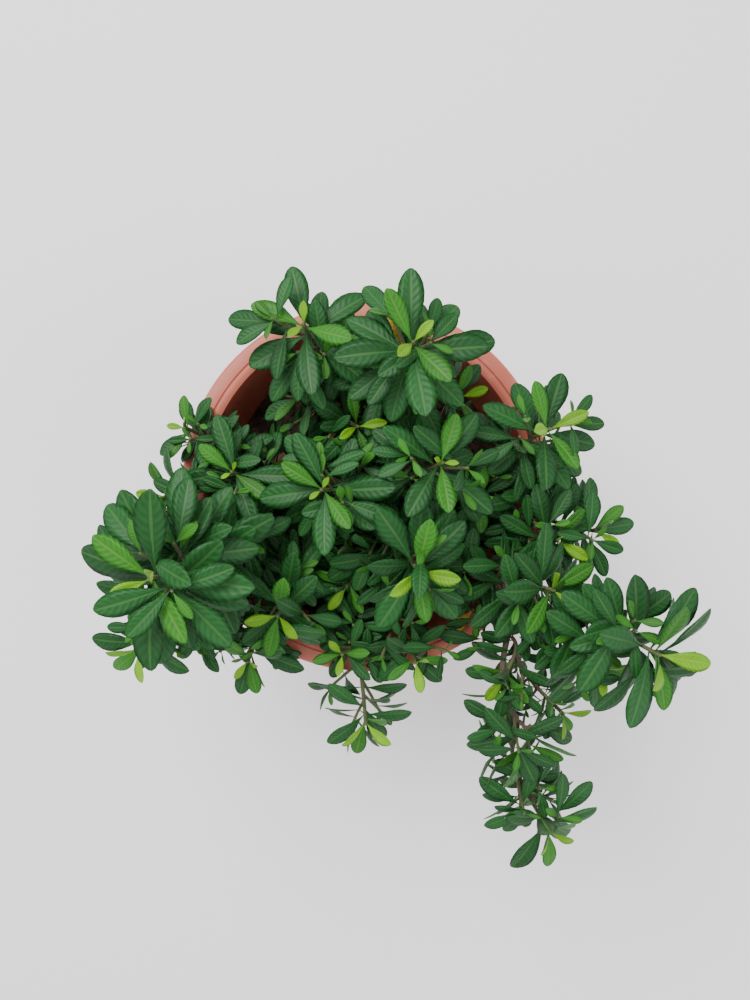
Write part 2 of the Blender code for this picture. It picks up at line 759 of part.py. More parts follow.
def main():
    start_clean()
    plastic = material("terracotta_plastic", (0.55, 0.16, 0.11), 0.45)
    earth = material("potting_soil", (0.06, 0.035, 0.022), 0.95)
    bark = material("grey_brown_bark", (0.16, 0.11, 0.075), 0.85)
    green = material("leaf_green", (0.045, 0.14, 0.045), 0.4)
    solids = Solids()
    for thing in (make_pot(plastic), make_soil(earth)):
        points = [v.co.copy() for v in thing.data.vertices]
        solids.add(thing.name, points, [tuple(f.vertices) for f in thing.data.polygons])
    tips, leaving = make_limbs(bark, solids)
    make_foliage(green, solids, tips, leaving)


main()
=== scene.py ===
# %% [markdown]
# # A dwarf ixora in a plastic pot
#
# The photo looks straight down on a low shrub whose rosettes of glossy leaves spill over a terracotta
# coloured pot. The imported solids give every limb, bud and rim its place. This scene grows the fine shrub
# from the same rule as the solids, so each fine leaf sits where a plain leaf was, and then grows on.


import math
import random
from collections import namedtuple

import bmesh
import bpy
import numpy as np
from mathutils import Matrix, Quaternion, Vector, noise
from mathutils.bvhtree import BVHTree


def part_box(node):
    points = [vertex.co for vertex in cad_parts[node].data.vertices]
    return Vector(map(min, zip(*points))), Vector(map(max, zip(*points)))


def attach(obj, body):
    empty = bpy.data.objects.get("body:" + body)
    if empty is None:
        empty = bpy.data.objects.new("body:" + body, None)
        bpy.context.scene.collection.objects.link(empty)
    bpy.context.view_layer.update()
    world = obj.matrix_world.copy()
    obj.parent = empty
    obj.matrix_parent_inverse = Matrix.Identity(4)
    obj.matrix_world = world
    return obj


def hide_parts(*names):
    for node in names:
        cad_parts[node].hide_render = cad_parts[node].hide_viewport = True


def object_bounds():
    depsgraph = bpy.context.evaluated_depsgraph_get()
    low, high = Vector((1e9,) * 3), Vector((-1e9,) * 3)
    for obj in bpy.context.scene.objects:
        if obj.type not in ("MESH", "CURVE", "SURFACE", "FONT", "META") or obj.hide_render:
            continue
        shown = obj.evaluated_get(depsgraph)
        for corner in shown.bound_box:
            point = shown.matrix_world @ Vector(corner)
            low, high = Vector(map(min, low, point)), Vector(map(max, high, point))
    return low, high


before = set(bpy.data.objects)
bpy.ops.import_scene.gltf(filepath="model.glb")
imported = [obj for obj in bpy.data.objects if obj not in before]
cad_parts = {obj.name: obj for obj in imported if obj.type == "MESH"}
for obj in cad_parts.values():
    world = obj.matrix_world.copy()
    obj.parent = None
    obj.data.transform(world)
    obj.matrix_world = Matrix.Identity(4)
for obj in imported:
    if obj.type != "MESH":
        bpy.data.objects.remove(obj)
cad_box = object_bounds()
MM = 0.001
GAP = 0.3 * MM
print("solids", len(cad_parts), "box", cad_box)


# %% [markdown]
# ## Camera and light
#
# The rim is a true circle in the photo, so the camera looks straight down. Its place and focal length are
# set so that this circle falls where the photo has it. The light is a soft sky with two broad lamps,
# because the shadows in the photo have no edges.


# %% Camera, lamps and floor
camera_data = bpy.data.cameras.new("photo_camera")
camera_data.sensor_width = 36
camera_data.lens = 31.97
camera = bpy.data.objects.new("photo_camera", camera_data)
camera.location = (0.0073, -0.0105, 0.986)
bpy.context.scene.collection.objects.link(camera)
bpy.context.scene.camera = camera


def lamp(name, place_at, aim, size, power, colour=(1, 1, 1)):
    """One square soft lamp that points at a place."""
    data = bpy.data.lights.new(name, "AREA")
    data.size = size
    data.energy = power
    data.color = colour
    made = bpy.data.objects.new(name, data)
    made.location = place_at
    made.rotation_euler = (Vector(aim) - Vector(place_at)).to_track_quat("-Z", "Y").to_euler()
    bpy.context.scene.collection.objects.link(made)
    return made


lamp("sky_lamp", (-0.7, 0.9, 2.1), (0, 0, 0.3), 1.3, 54)
lamp("side_lamp", (1.7, -0.9, 1.5), (0, 0, 0.25), 1.6, 13, (0.97, 0.98, 1.0))
world = bpy.data.worlds.new("soft_sky")
world.use_nodes = True
world.node_tree.nodes["Background"].inputs["Color"].default_value = (0.97, 0.985, 1.0, 1)
world.node_tree.nodes["Background"].inputs["Strength"].default_value = 1.1
bpy.context.scene.world = world

bpy.ops.mesh.primitive_plane_add(size=8, location=(0, 0, -0.0006))
floor = bpy.context.object
floor.name = "studio_floor"
floor_finish = bpy.data.materials.new("studio_floor")
floor_finish.use_nodes = True
floor_finish.node_tree.nodes["Principled BSDF"].inputs["Base Color"].default_value = (0.97, 0.97, 0.965, 1)
floor_finish.node_tree.nodes["Principled BSDF"].inputs["Roughness"].default_value = 0.9
floor.data.materials.append(floor_finish)
print("camera at", tuple(round(c, 4) for c in camera.location))


# %% [markdown]
# ## The rule of growth
#
# These tables are the shrub's plan: where each bough ends, and where each bud sits, how long its leaves
# are and which way its newest pair points. The functions below turn the plan into limbs in just the way
# the solids were made. With one rule for both, the finer growth starts on the same limbs and twigs.


# %% The plan of boughs and buds
Bough = namedtuple("Bough", "name grows_from starts_at bearing reach height foot tip")
Shoot = namedtuple("Shoot", "bearing reach height leaf spin flush")
Mass = namedtuple("Mass", "name bough shoots side_twigs")
# Each bough: the limb that it grows from, the bearing in which it leaves the trunk, then where it ends
# (bearing in degrees, reach and height in millimetres) and its radius at its foot and tip.
BOUGHS = (
    Bough("bough_back", "trunk", 90, 92, 62, 262, 4.3, 3.3),
    Bough("bough_left", "trunk", 158, 180, 78, 266, 4.5, 3.5),
    Bough("bough_front_left", "trunk", 217, 228, 88, 268, 4.1, 3.2),
    Bough("bough_front", "trunk", 275, 273, 84, 264, 4.1, 3.2),
    Bough("bough_front_right", "trunk", 331, 320, 94, 268, 4.7, 3.9),
    Bough("bough_right", "trunk", 29, 2, 88, 266, 4.3, 3.4),
    Bough("bough_centre", "trunk", None, 345, 14, 285, 4.1, 3.4),
    Bough("bough_left_high", "bough_left", None, 202, 118, 318, 2.8, 2.5),
    Bough("bough_far_right", "bough_front_right", None, 326, 172, 305, 2.8, 2.5),
    Bough("bough_cascade", "bough_front_right", None, 314, 162, 284, 2.8, 2.7),
    Bough("bough_cascade_low", "bough_cascade", None, 303, 222, 274, 2.5, 2.4),
)

# Each mass: the bough whose tip it grows from, and its shoots. A shoot has the place of its tip, the
# length in millimetres of its full-grown leaves, the bearing of its newest pair of leaves, and the size
# of that pair as a share of a full-grown leaf.
MASSES = (
    Mass("foliage_back_left", "bough_back", (Shoot(111, 123, 352, 50, 65, 0.34),), 3),
    Mass("foliage_back_right", "bough_back", (
        Shoot(71, 102, 385, 52, 45, 0.40),
        Shoot(43, 99, 312, 34, 20, 0.60),
    ), 3),
    Mass("foliage_back_inner", "bough_back", (
        Shoot(126, 89, 298, 38, 150, 0.55),
        Shoot(97, 45, 318, 36, 5, 0.60),
    ), 2),
    Mass("foliage_centre", "bough_centre", (Shoot(186, 31, 355, 46, 55, 0.26),), 3),
    Mass("foliage_centre_right", "bough_centre", (Shoot(16, 57, 362, 47, 0, 0.25),), 3),
    Mass("foliage_front_centre", "bough_centre", (
        Shoot(302, 73, 355, 50, 175, 0.62),
        Shoot(259, 80, 292, 33, 70, 0.70),
    ), 3),
    Mass("foliage_left_upper", "bough_left", (
        Shoot(174, 100, 325, 43, 55, 0.22),
        Shoot(183, 155, 302, 37, 170, 0.60),
    ), 3),
    Mass("foliage_left_back", "bough_left", (Shoot(162, 147, 300, 32, 175, 0.45),), 2),
    Mass("foliage_left_high", "bough_left_high", (Shoot(204, 155, 402, 62, 40, 0.42),), 3),
    Mass("foliage_left_far", "bough_left_high", (
        Shoot(200, 189, 335, 40, 80, 0.35),
        Shoot(216, 213, 312, 44, 310, 0.55),
    ), 3),
    Mass("foliage_front_left", "bough_front_left", (Shoot(236, 118, 318, 42, 350, 0.62),), 3),
    Mass("foliage_front_left_low", "bough_front_left", (
        Shoot(236, 164, 296, 39, 30, 0.40),
        Shoot(221, 179, 305, 32, 90, 0.50),
    ), 2),
    Mass("foliage_front_low", "bough_front", (
        Shoot(270, 186, 290, 39, 340, 0.60),
        Shoot(262, 132, 296, 30, 100, 0.60),
    ), 2),
    Mass("foliage_front_side", "bough_front", (Shoot(286, 141, 300, 33, 265, 0.75),), 2),
    Mass("foliage_right_back", "bough_right", (Shoot(17, 141, 340, 45, 30, 0.60),), 3),
    Mass("foliage_right_inner", "bough_right", (Shoot(354, 89, 302, 33, 0, 0.30),), 2),
    Mass("foliage_right_far", "bough_right", (
        Shoot(344, 151, 315, 40, 150, 0.60),
        Shoot(349, 182, 302, 40, 320, 0.50),
    ), 2),
    Mass("foliage_right_front", "bough_front_right", (Shoot(331, 156, 345, 46, 130, 0.58),), 3),
    Mass("foliage_far_right", "bough_far_right", (Shoot(330, 238, 365, 52, 5, 0.65),), 3),
    Mass("foliage_far_right_low", "bough_far_right", (Shoot(322, 225, 312, 42, 60, 0.50),), 2),
    Mass("foliage_cascade_inner", "bough_cascade", (
        Shoot(306, 183, 296, 35, 70, 0.70),
        Shoot(311, 242, 272, 30, 20, 0.70),
    ), 2),
    Mass("foliage_cascade_middle", "bough_cascade_low", (Shoot(302, 250, 268, 41, 85, 0.60),), 2),
    Mass("foliage_cascade_end", "bough_cascade_low", (
        Shoot(298, 325, 250, 47, 350, 0.45),
        Shoot(296, 302, 240, 36, 190, 0.50),
    ), 2),
)

# One pair of leaves after another, from the bud down: how far below the bud it leaves the twig, in
# millimetres, its size as a share of a full-grown leaf (None: the shoot's own flush), and in degrees how
# far it leans away from the twig and how far it is turned from the newest pair.
PAIRS = (
    (1.2, None, 40, 0),
    (4.5, 0.76, 58, 90),
    (9.0, 0.97, 68, 45),
    (15.0, 1.00, 78, 135),
    (23.0, 0.94, 88, 90),
)
SIDE_TWIG_PAIRS = (PAIRS[0], PAIRS[2])


# %% Sizes that the rule uses
# Pot
POT_HEIGHT = 266 * MM
RIM_RADIUS = 150 * MM
RIM_FLAT = 12.5 * MM
RIM_SKIRT = 30 * MM
RIM_ROUND = 3.5 * MM
LIP_STEP = 7 * MM
BASE_RADIUS = 98 * MM
WALL = 3 * MM
FLOOR = 4 * MM
DRAIN_HOLES = 6
DRAIN_RADIUS = 5 * MM
DRAIN_CIRCLE = 62 * MM

# Soil
SOIL_HEIGHT = 194 * MM
SOIL_CROWN = 6 * MM
SOIL_FLAT_RADIUS = 24 * MM
SOIL_EDGE = 120.5 * MM
SOIL_CLODS = 2.2 * MM
CLOD_TWIST = 45.0

# Trunk
TRUNK_HEIGHT = 30 * MM
TRUNK_FOOT = 15 * MM
TRUNK_WAIST = 9.5 * MM
TRUNK_CROWN = 10.5 * MM
TRUNK_LEAN = 3 * MM
TRUNK_SIDES = 10

# Boughs and twigs
BOUGH_SIDES = 6
BOUGH_STEPS = 5
STEM_STEPS = 4
SIDE_TWIG_STEPS = 2
TWIG_SIDES = 3
STEM_FOOT = 1.8 * MM
STEM_TIP = 1.6 * MM
TWIG_TIP = 1.5 * MM
WIDEST_FORK_ANGLE = math.radians(80)
PRIMARY_LEAN = math.radians(63)
LOW_BOUGH_LEAN = math.radians(12)
DROOPING = math.radians(112)
CURVE_LEAVING = 0.38
CURVE_ARRIVING = 0.34
KEEPS_ON = 0.35
SECOND_SHOOT_AT = 0.62

# Side twigs
SIDE_TWIG_FIRST = 26 * MM
SIDE_TWIG_PITCH = 15 * MM
SIDE_TWIG_SHORTEST = 20 * MM
SIDE_TWIG_LONGEST = 32 * MM
SIDE_TWIG_RISE = 6 * MM
SIDE_TWIG_LEAF = 0.8
SIDE_TWIG_FLUSH = 0.45
SIDE_TWIG_TRIES = 8

# Leaves
LEAF_WIDTH = 0.46
LEAF_WIDEST_AT = 0.60
LEAF_ROOT_WIDTH = 1.1 * MM
LEAF_ROOT_DEPTH = 0.9 * MM
LEAF_CUP = 0.03
LEAF_CLEARANCE = 0.45 * MM
ROOT_OFF_CENTRE = 0.3 * MM
LEAF_NECK = 0.22
FLATTENED = 0.75
LEAF_DROOP = 0.09
FACES_SKY = 0.8
LEAF_SIZES = (0.98, 1.12)
TILT_DRIFT = 7
SIDE_DRIFT = 8
TURN_DRIFT = 9
MOST_LEAN = math.radians(20)
LEAN_PER_METRE = math.radians(95)
SEED = 41
print("seed", SEED, "boughs", len(BOUGHS), "masses", len(MASSES))


# %% Curves, tubes and forks
def place(bearing, reach_mm, height_mm):
    """The point at that bearing, reach and height."""
    turn = math.radians(bearing)
    return Vector((reach_mm * MM * math.cos(turn), reach_mm * MM * math.sin(turn), height_mm * MM))


def outward(bearing, lean):
    """The direction that leans from straight up towards a bearing."""
    turn = math.radians(bearing)
    return Vector((math.sin(lean) * math.cos(turn), math.sin(lean) * math.sin(turn), math.cos(lean)))


def curve(start, start_direction, end, end_direction, steps):
    """Points of a smooth curve that leaves start and reaches end in the given directions."""
    span = (end - start).length
    a = start + start_direction * span * CURVE_LEAVING
    b = end - end_direction * span * CURVE_ARRIVING
    found = []
    for i in range(steps + 1):
        t = i / steps
        s = 1 - t
        found.append(start * s**3 + a * 3 * s * s * t + b * 3 * s * t * t + end * t**3)
    return found


def tube(path, radii, sides, first_normal=None, round_tip=False):
    """Points and faces of a closed tapering tube: flat at its foot, flat or rounded at its tip."""
    headings = []
    for i in range(len(path)):
        ahead = path[min(i + 1, len(path) - 1)] - path[max(i - 1, 0)]
        headings.append(ahead.normalized())
    if first_normal is not None:
        headings[0] = first_normal.normalized()
    stations = list(zip(path, headings, radii))
    if round_tip:
        point, heading, radius = stations[-1]
        for angle in (42, 74):
            rise = math.radians(angle)
            stations.append((point + heading * radius * math.sin(rise), heading, radius * math.cos(rise)))
    side = headings[0].orthogonal().normalized()
    points, faces = [], []
    before = headings[0]
    for point, heading, radius in stations:
        side = before.rotation_difference(heading) @ side
        side = (side - heading * side.dot(heading)).normalized()
        across = heading.cross(side)
        before = heading
        for i in range(sides):
            turn = 2 * math.pi * i / sides
            points.append(point + radius * (side * math.cos(turn) + across * math.sin(turn)))
    for row in range(len(stations) - 1):
        for i in range(sides):
            j = (i + 1) % sides
            faces.append((row * sides + i, row * sides + j, (row + 1) * sides + j, (row + 1) * sides + i))
    faces.append(tuple(range(sides))[::-1])
    last = (len(stations) - 1) * sides
    if round_tip:
        points.append(path[-1] + headings[-1] * radii[-1])
        faces += [(last + i, last + (i + 1) % sides, len(points) - 1) for i in range(sides)]
    else:
        faces.append(tuple(range(last, last + sides)))
    return points, faces


def tapering(start, end, count):
    """Radii from start to end, evenly."""
    return [start + (end - start) * i / (count - 1) for i in range(count)]


def spread_apart(wanted, feet, heading, radius):
    """Directions as near the wanted ones as leaves each foot, of that radius, clear of the next."""
    found = [d.normalized() for d in wanted]
    shares = [math.atan((foot + GAP) / radius) for foot in feet]
    for _ in range(80):
        for i in range(len(found)):
            for j in range(i + 1, len(found)):
                short = shares[i] + shares[j] - found[i].angle(found[j])
                if short > 0:
                    axis = found[i].cross(found[j])
                    if axis.length < 1e-6:
                        axis = heading.orthogonal()
                    found[i] = Quaternion(axis, -short / 2 - 0.004) @ found[i]
                    found[j] = Quaternion(axis, short / 2 + 0.004) @ found[j]
        for i, direction in enumerate(found):
            if heading.angle(direction) > WIDEST_FORK_ANGLE:
                found[i] = Quaternion(heading.cross(direction), WIDEST_FORK_ANGLE) @ heading
    return found


def trunk_path():
    """Centre line of the short trunk, from the soil to the crown that the boughs leave."""
    foot = SOIL_HEIGHT + SOIL_CROWN + GAP
    shares = (0.0, 0.16, 0.45, 1.0)
    return [Vector((TRUNK_LEAN * s, -TRUNK_LEAN * s * s, foot + TRUNK_HEIGHT * s)) for s in shares]


def fork_children(name):
    """What grows from the tip of a limb: boughs first, then the stems of masses. Each has its name, its
    aim and the radius of its foot."""
    boughs = [b for b in BOUGHS if b.grows_from == name]
    found = [(b.name, place(b.bearing, b.reach, b.height), b.foot * MM) for b in boughs]
    for mass in MASSES:
        if mass.bough == name:
            buds = [place(s.bearing, s.reach, s.height) for s in mass.shoots]
            found.append((mass.name, sum(buds, Vector()) / len(buds), STEM_FOOT))
    return found


def forks_of(name, tip, heading, radius):
    """The direction in which each child of a limb leaves its rounded tip."""
    children = fork_children(name)
    wanted = [(aim - tip).normalized() + heading * KEEPS_ON for _, aim, _ in children]
    found = spread_apart(wanted, [foot for _, _, foot in children], heading, radius + GAP)
    return {child[0]: direction for child, direction in zip(children, found)}


# %% What touches what
MOST_PIECES = 12000


class Solids:
    """Every piece placed so far, each with its owner, kept to tell what a new piece would touch."""

    def __init__(self):
        self.owners, self.trees = [], []
        self.low, self.high = np.zeros((MOST_PIECES, 3)), np.zeros((MOST_PIECES, 3))

    def add(self, owner, points, faces):
        """Keeps a piece."""
        some = np.array(points)
        self.low[len(self.owners)], self.high[len(self.owners)] = some.min(axis=0), some.max(axis=0)
        self.owners.append(owner)
        self.trees.append(BVHTree.FromPolygons(points, faces))

    def touched(self, owner, points, faces):
        """The owner of a piece that these faces would cut, or None. A mass may cut itself."""
        count = len(self.owners)
        some = np.array(points)
        below = (self.low[:count] <= some.max(axis=0)).all(axis=1)
        above = (self.high[:count] >= some.min(axis=0)).all(axis=1)
        own = None
        for index in np.nonzero(below & above)[0]:
            if self.owners[index] == owner:
                continue
            own = own or BVHTree.FromPolygons(points, faces)
            if own.overlap(self.trees[index]):
                return self.owners[index]
        return None


def swept_clear(solids, owner, path, radii):
    """What a limb along this path would touch, with its clearance."""
    wide = [radii[0] + 0.7 * GAP] + [r + 2 * GAP for r in radii[1:]]
    points, faces = tube(path, wide, BOUGH_SIDES)
    return solids.touched(owner, points, faces)


def clear_curve(solids, owner, start, start_direction, end, end_direction, radii):
    """The first of several slightly different curves that touches nothing."""
    steps = len(radii) - 1
    axis = (end - start).normalized()
    for swing in (0, 12, -12, 24, -24, 36, -36, 48, -48):
        for tilt in (0, 14, -14, 28):
            turned_end = Quaternion(axis, math.radians(swing)) @ end_direction
            turned_end = Quaternion(axis.orthogonal(), math.radians(tilt)) @ turned_end
            path = curve(start, start_direction, end, turned_end.normalized(), steps)
            if swept_clear(solids, owner, path, radii) is None:
                return path
    raise RuntimeError(f"{owner}: no clear way to its tip")


# %% Leaves and twigs of the solids
def leaf_shape(root, direction, face_up, length, grow=0.0, from_share=0.0):
    """Points and faces of one leaf of eight faces: a three-cornered root, two widest points and a tip.
    grow makes it a little larger all round and from_share leaves out the part next to the twig, both to
    test what it would touch."""
    along = direction.normalized()
    across = along.cross(face_up).normalized()
    up = across.cross(along)
    half = LEAF_WIDTH * length / 2 + grow
    foot = root + along * from_share * length
    wide = root + along * LEAF_WIDEST_AT * length + up * (LEAF_CUP * length + grow)
    root_half = LEAF_ROOT_WIDTH / 2 + half * from_share / LEAF_WIDEST_AT + grow
    points = [
        foot - across * root_half + up * (0.35 * LEAF_ROOT_DEPTH + grow),
        foot + across * root_half + up * (0.35 * LEAF_ROOT_DEPTH + grow),
        foot - up * (0.65 * LEAF_ROOT_DEPTH + grow),
        wide - across * half,
        wide + across * half,
        root + along * (length + grow),
    ]
    faces = [(0, 2, 1), (0, 1, 4), (0, 4, 3), (3, 4, 5), (2, 3, 5), (2, 5, 4), (0, 3, 2), (1, 2, 4)]
    return points, faces


class Twig:
    """One tapering twig, and the way along it."""

    def __init__(self, path, foot, tip):
        self.path = path
        self.radii = tapering(foot, tip, len(path))
        self.length = sum((b - a).length for a, b in zip(path, path[1:]))

    def at(self, below_tip):
        """The point and heading that far back from the tip."""
        left = below_tip
        for a, b in zip(self.path[::-1], self.path[-2::-1]):
            step = (b - a).length
            if left <= step:
                return a + (b - a) * left / step, (a - b).normalized()
            left -= step
        return self.path[0], (self.path[1] - self.path[0]).normalized()


def shoot_lean(shoot):
    """How far a shoot leans outwards: the further out, the more."""
    return min(MOST_LEAN, LEAN_PER_METRE * shoot.reach * MM)


# %% [markdown]
# ## Twigs that the solids already have
#
# A bud carries opposite pairs of leaves, each pair turned from the one above. The youngest pair is small
# and yellow-green, the next is light green, and all the older ones are dark. So every leaf is remembered
# with its age, and that gives it its colour later.


# %% One mass of foliage, grown as in the solids
Leaf = namedtuple("Leaf", "root along face_up size kind")


class Foliage:
    """One mass as it grows, with every leaf that it keeps."""

    def __init__(self, mass, index, solids):
        self.mass = mass
        self.rule = random.Random(SEED + index)
        self.solids = solids
        self.own = Solids()
        self.twigs, self.side_twigs, self.leaves = [], [], []
        self.on_side_twig = False
        self.room = None
        self.flattened = FLATTENED

    def add(self, points, faces, own=None):
        """Keeps a piece. own is the shape that later leaves of this mass must stay clear of."""
        self.solids.add(self.mass.name, points, faces)
        self.own.add("own", *(own or (points, faces)))

    def has_room(self, point):
        """Tells whether a point lies in the box that this mass keeps to."""
        if self.room is None:
            return True
        low, high = self.room
        return all(low[k] <= point[k] <= high[k] for k in range(3))

    def add_leaf(self, point, heading, level, tilt, size, kind):
        """Grows a leaf at that point of a twig, swung a little aside where another piece is in its way,
        and left out where it would touch one anyway."""
        for swing, rise in ((0, 0), (0, 7), (0, -7), (12, 0), (-12, 0), (18, 6), (-18, 6), (26, 0), (-26, 0)):
            side = Quaternion(heading, math.radians(swing)) @ level
            angle = tilt + math.radians(rise)
            direction = heading * math.cos(angle) + side * math.sin(angle)
            direction.z = direction.z * self.flattened - LEAF_DROOP
            face_up = heading * math.sin(angle) - side * math.cos(angle) + Vector((0, 0, FACES_SKY))
            root = point + side * ROOT_OFF_CENTRE
            if not self.has_room(root + direction.normalized() * size):
                continue
            outer = leaf_shape(root, direction, face_up, size, LEAF_CLEARANCE, LEAF_NECK)
            if self.own.touched("", *outer):
                continue
            whole = leaf_shape(root, direction, face_up, size, LEAF_CLEARANCE)
            if self.solids.touched(self.mass.name, *whole):
                continue
            self.add(*leaf_shape(root, direction, face_up, size), own=outer)
            self.leaves.append(Leaf(root, direction.normalized(), face_up, size, kind))
            return

    def grow_stem(self, tip, radius, away):
        """The stem, which starts 0.3 mm from its bough and runs to the first shoot, and one twig from it
        to each other shoot."""
        start = tip + away * (radius + GAP)
        for number, shoot in enumerate(self.mass.shoots):
            end = place(shoot.bearing, shoot.reach, shoot.height)
            end_direction = outward(shoot.bearing, shoot_lean(shoot))
            if number:
                main = self.twigs[0][0]
                start, heading = main.at(main.length * SECOND_SHOOT_AT)
                away = (heading / 2 + (end - start).normalized()).normalized()
            radii = tapering(STEM_FOOT, STEM_TIP, STEM_STEPS + 1)
            path = clear_curve(self.solids, self.mass.name, start, away, end, end_direction, radii)
            twig = Twig(path, STEM_FOOT, STEM_TIP)
            self.twigs.append((twig, shoot))
            self.add(*tube(path, twig.radii, TWIG_SIDES, away))

    def grow_pairs(self, twig, leaf, spin, flush, pairs):
        """Pairs of opposite leaves down a twig, each pair turned from the last."""
        kinds = ("light", "dark") if self.on_side_twig else ("young", "light")
        for number, (below, share, lean, turn) in enumerate(pairs):
            kind = kinds[number] if number < len(kinds) and lean < 70 else "dark"
            point, heading = twig.at(below * MM)
            east = Vector((1, 0, 0)) - heading * heading.x
            east.normalize()
            turn += self.rule.uniform(-TURN_DRIFT, TURN_DRIFT)
            for side in (0, 180):
                size = leaf * MM * (share or flush) * self.rule.uniform(*LEAF_SIZES)
                tilt = math.radians(lean + self.rule.uniform(-TILT_DRIFT, TILT_DRIFT))
                bearing = spin + turn + side + self.rule.uniform(-SIDE_DRIFT, SIDE_DRIFT)
                level = Quaternion(heading, math.radians(bearing)) @ east
                self.add_leaf(point, heading, level, tilt, size, kind)

    def side_twig(self, stem, below, turn, lengths, tries, lift):
        """A short clear twig from a stem, or None."""
        point, heading = stem.at(below)
        for _ in range(tries):
            level = Quaternion(heading, turn) @ heading.orthogonal().normalized()
            direction = (heading * 0.75 + level + Vector((0, 0, lift))).normalized()
            end = point + direction * self.rule.uniform(*lengths) + Vector((0, 0, SIDE_TWIG_RISE))
            rising = (direction + Vector((0, 0, 0.5))).normalized()
            path = curve(point, direction, end, rising, SIDE_TWIG_STEPS)
            wide = tube(path, [STEM_TIP + 2 * GAP] * len(path), TWIG_SIDES)
            clear = self.solids.touched(self.mass.name, *wide) is None
            if clear and end.z > SOIL_HEIGHT + SOIL_CROWN and self.has_room(end):
                twig = Twig(path, STEM_TIP, TWIG_TIP)
                self.add(*tube(path, twig.radii, TWIG_SIDES))
                self.side_twigs.append(twig)
                return twig, turn
            turn += math.radians(47)
        return None

    def grow_side_twigs(self):
        """Short twigs that leave the stem lower down, each with a few leaves of its own."""
        self.on_side_twig = True
        lengths = (SIDE_TWIG_SHORTEST, SIDE_TWIG_LONGEST)
        for number in range(self.mass.side_twigs):
            stem, shoot = self.twigs[number % len(self.twigs)]
            below = SIDE_TWIG_FIRST + SIDE_TWIG_PITCH * number
            if below > stem.length * 0.8:
                continue
            turn = self.rule.uniform(0, 2 * math.pi)
            found = self.side_twig(stem, below, turn, lengths, SIDE_TWIG_TRIES, 0.0)
            if found:
                twig, turn = found
                leaf = shoot.leaf * SIDE_TWIG_LEAF
                self.grow_pairs(twig, leaf, math.degrees(turn), SIDE_TWIG_FLUSH, SIDE_TWIG_PAIRS)

    def grow_finer(self, stem, leaf, first, until, pairs):
        """More side twigs on a stem, closer together, each with its own pairs."""
        self.on_side_twig = True
        below = first
        while below < stem.length * until:
            turn = self.rule.uniform(0, 2 * math.pi)
            found = self.side_twig(stem, below, turn, (FINE_SHORTEST, FINE_LONGEST), 7, 0.35)
            if found:
                twig, turn = found
                size = leaf * self.rule.uniform(0.75, 0.98)
                self.grow_pairs(twig, size, math.degrees(turn), SIDE_TWIG_FLUSH, pairs)
            below += FINE_PITCH * self.rule.uniform(0.8, 1.3)


def follow_limbs():
    """The centre line and radii of the trunk and of each bough, as in the solids."""
    lines = {}
    path = trunk_path()
    radii = (TRUNK_FOOT, TRUNK_FOOT * 0.80, TRUNK_WAIST, TRUNK_CROWN)
    solids.add("trunk", *tube(path, radii, TRUNK_SIDES, Vector((0, 0, 1)), round_tip=True))
    lines["trunk"] = (path, radii)
    tips = {"trunk": (path[-1], TRUNK_CROWN)}
    leaving = {}
    for bough in BOUGHS:
        tip, radius = tips[bough.grows_from]
        if bough.grows_from == "trunk":
            lean = PRIMARY_LEAN if bough.starts_at is not None else 0.0
            leaving[bough.name] = outward(bough.starts_at or 0, lean)
        away = leaving[bough.name]
        start = tip + away * (radius + GAP)
        end = place(bough.bearing, bough.reach, bough.height)
        finish_lean = min(MOST_LEAN, LEAN_PER_METRE * bough.reach * MM)
        if bough.height < POT_HEIGHT:
            finish_lean += LOW_BOUGH_LEAN
        if end.z < start.z:
            finish_lean = DROOPING
        thickness = tapering(bough.foot * MM, bough.tip * MM, BOUGH_STEPS + 1)
        arriving = outward(bough.bearing, finish_lean)
        line = clear_curve(solids, bough.name, start, away, end, arriving, thickness)
        solids.add(bough.name, *tube(line, thickness, BOUGH_SIDES, away, round_tip=True))
        lines[bough.name] = (line, thickness)
        tips[bough.name] = (line[-1], thickness[-1])
        heading = (line[-1] - line[-2]).normalized()
        leaving.update(forks_of(bough.name, line[-1], heading, thickness[-1]))
    return lines, tips, leaving


solids = Solids()
for name in ("pot", "soil"):
    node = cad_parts[name].data
    solids.add(name, [v.co.copy() for v in node.vertices], [tuple(f.vertices) for f in node.polygons])
limb_lines, tips, leaving = follow_limbs()
grown = [Foliage(mass, index, solids) for index, mass in enumerate(MASSES)]
for foliage in grown:
    foliage.grow_stem(*tips[foliage.mass.bough], leaving[foliage.mass.name])
for foliage in grown:
    for twig, shoot in foliage.twigs:
        foliage.grow_pairs(twig, shoot.leaf, shoot.spin, shoot.flush, PAIRS)
for foliage in grown:
    foliage.grow_side_twigs()
print("leaves as in the solids", sum(len(f.leaves) for f in grown))


# %% [markdown]
# ## Growing on
#
# The solids stop at a few hundred leaves. The real crown is nearly closed, so each stem gets its older
# pairs and more short side twigs, and the boughs get twigs of their own. The new leaves turn flatter to
# the light. Their tips stay within a few millimetres of the box that their own solid fills, and a leaf
# whose coarse shape would cut another piece is left out, just as before.


# %% Older pairs and finer side twigs
OLDER_PAIRS = ((32.0, 0.84, 90, 20), (42.0, 0.74, 94, 112), (53.0, 0.68, 96, 65), (65.0, 0.62, 98, 155))
FINE_PAIRS = ((1.0, 0.40, 42, 0), (4.0, 0.72, 58, 90), (9.0, 0.95, 70, 45), (16.0, 0.88, 84, 135))
FINE_PITCH = 12 * MM
FINE_SHORTEST = 14 * MM
FINE_LONGEST = 34 * MM
REACH_MARGIN = 9 * MM
TURNED_TO_LIGHT = 0.35


def room_of(name):
    """The box that a fine leaf of that node keeps to."""
    low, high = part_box(name)
    margin = Vector((REACH_MARGIN,) * 3)
    return Vector(low) - margin, Vector(high) + margin


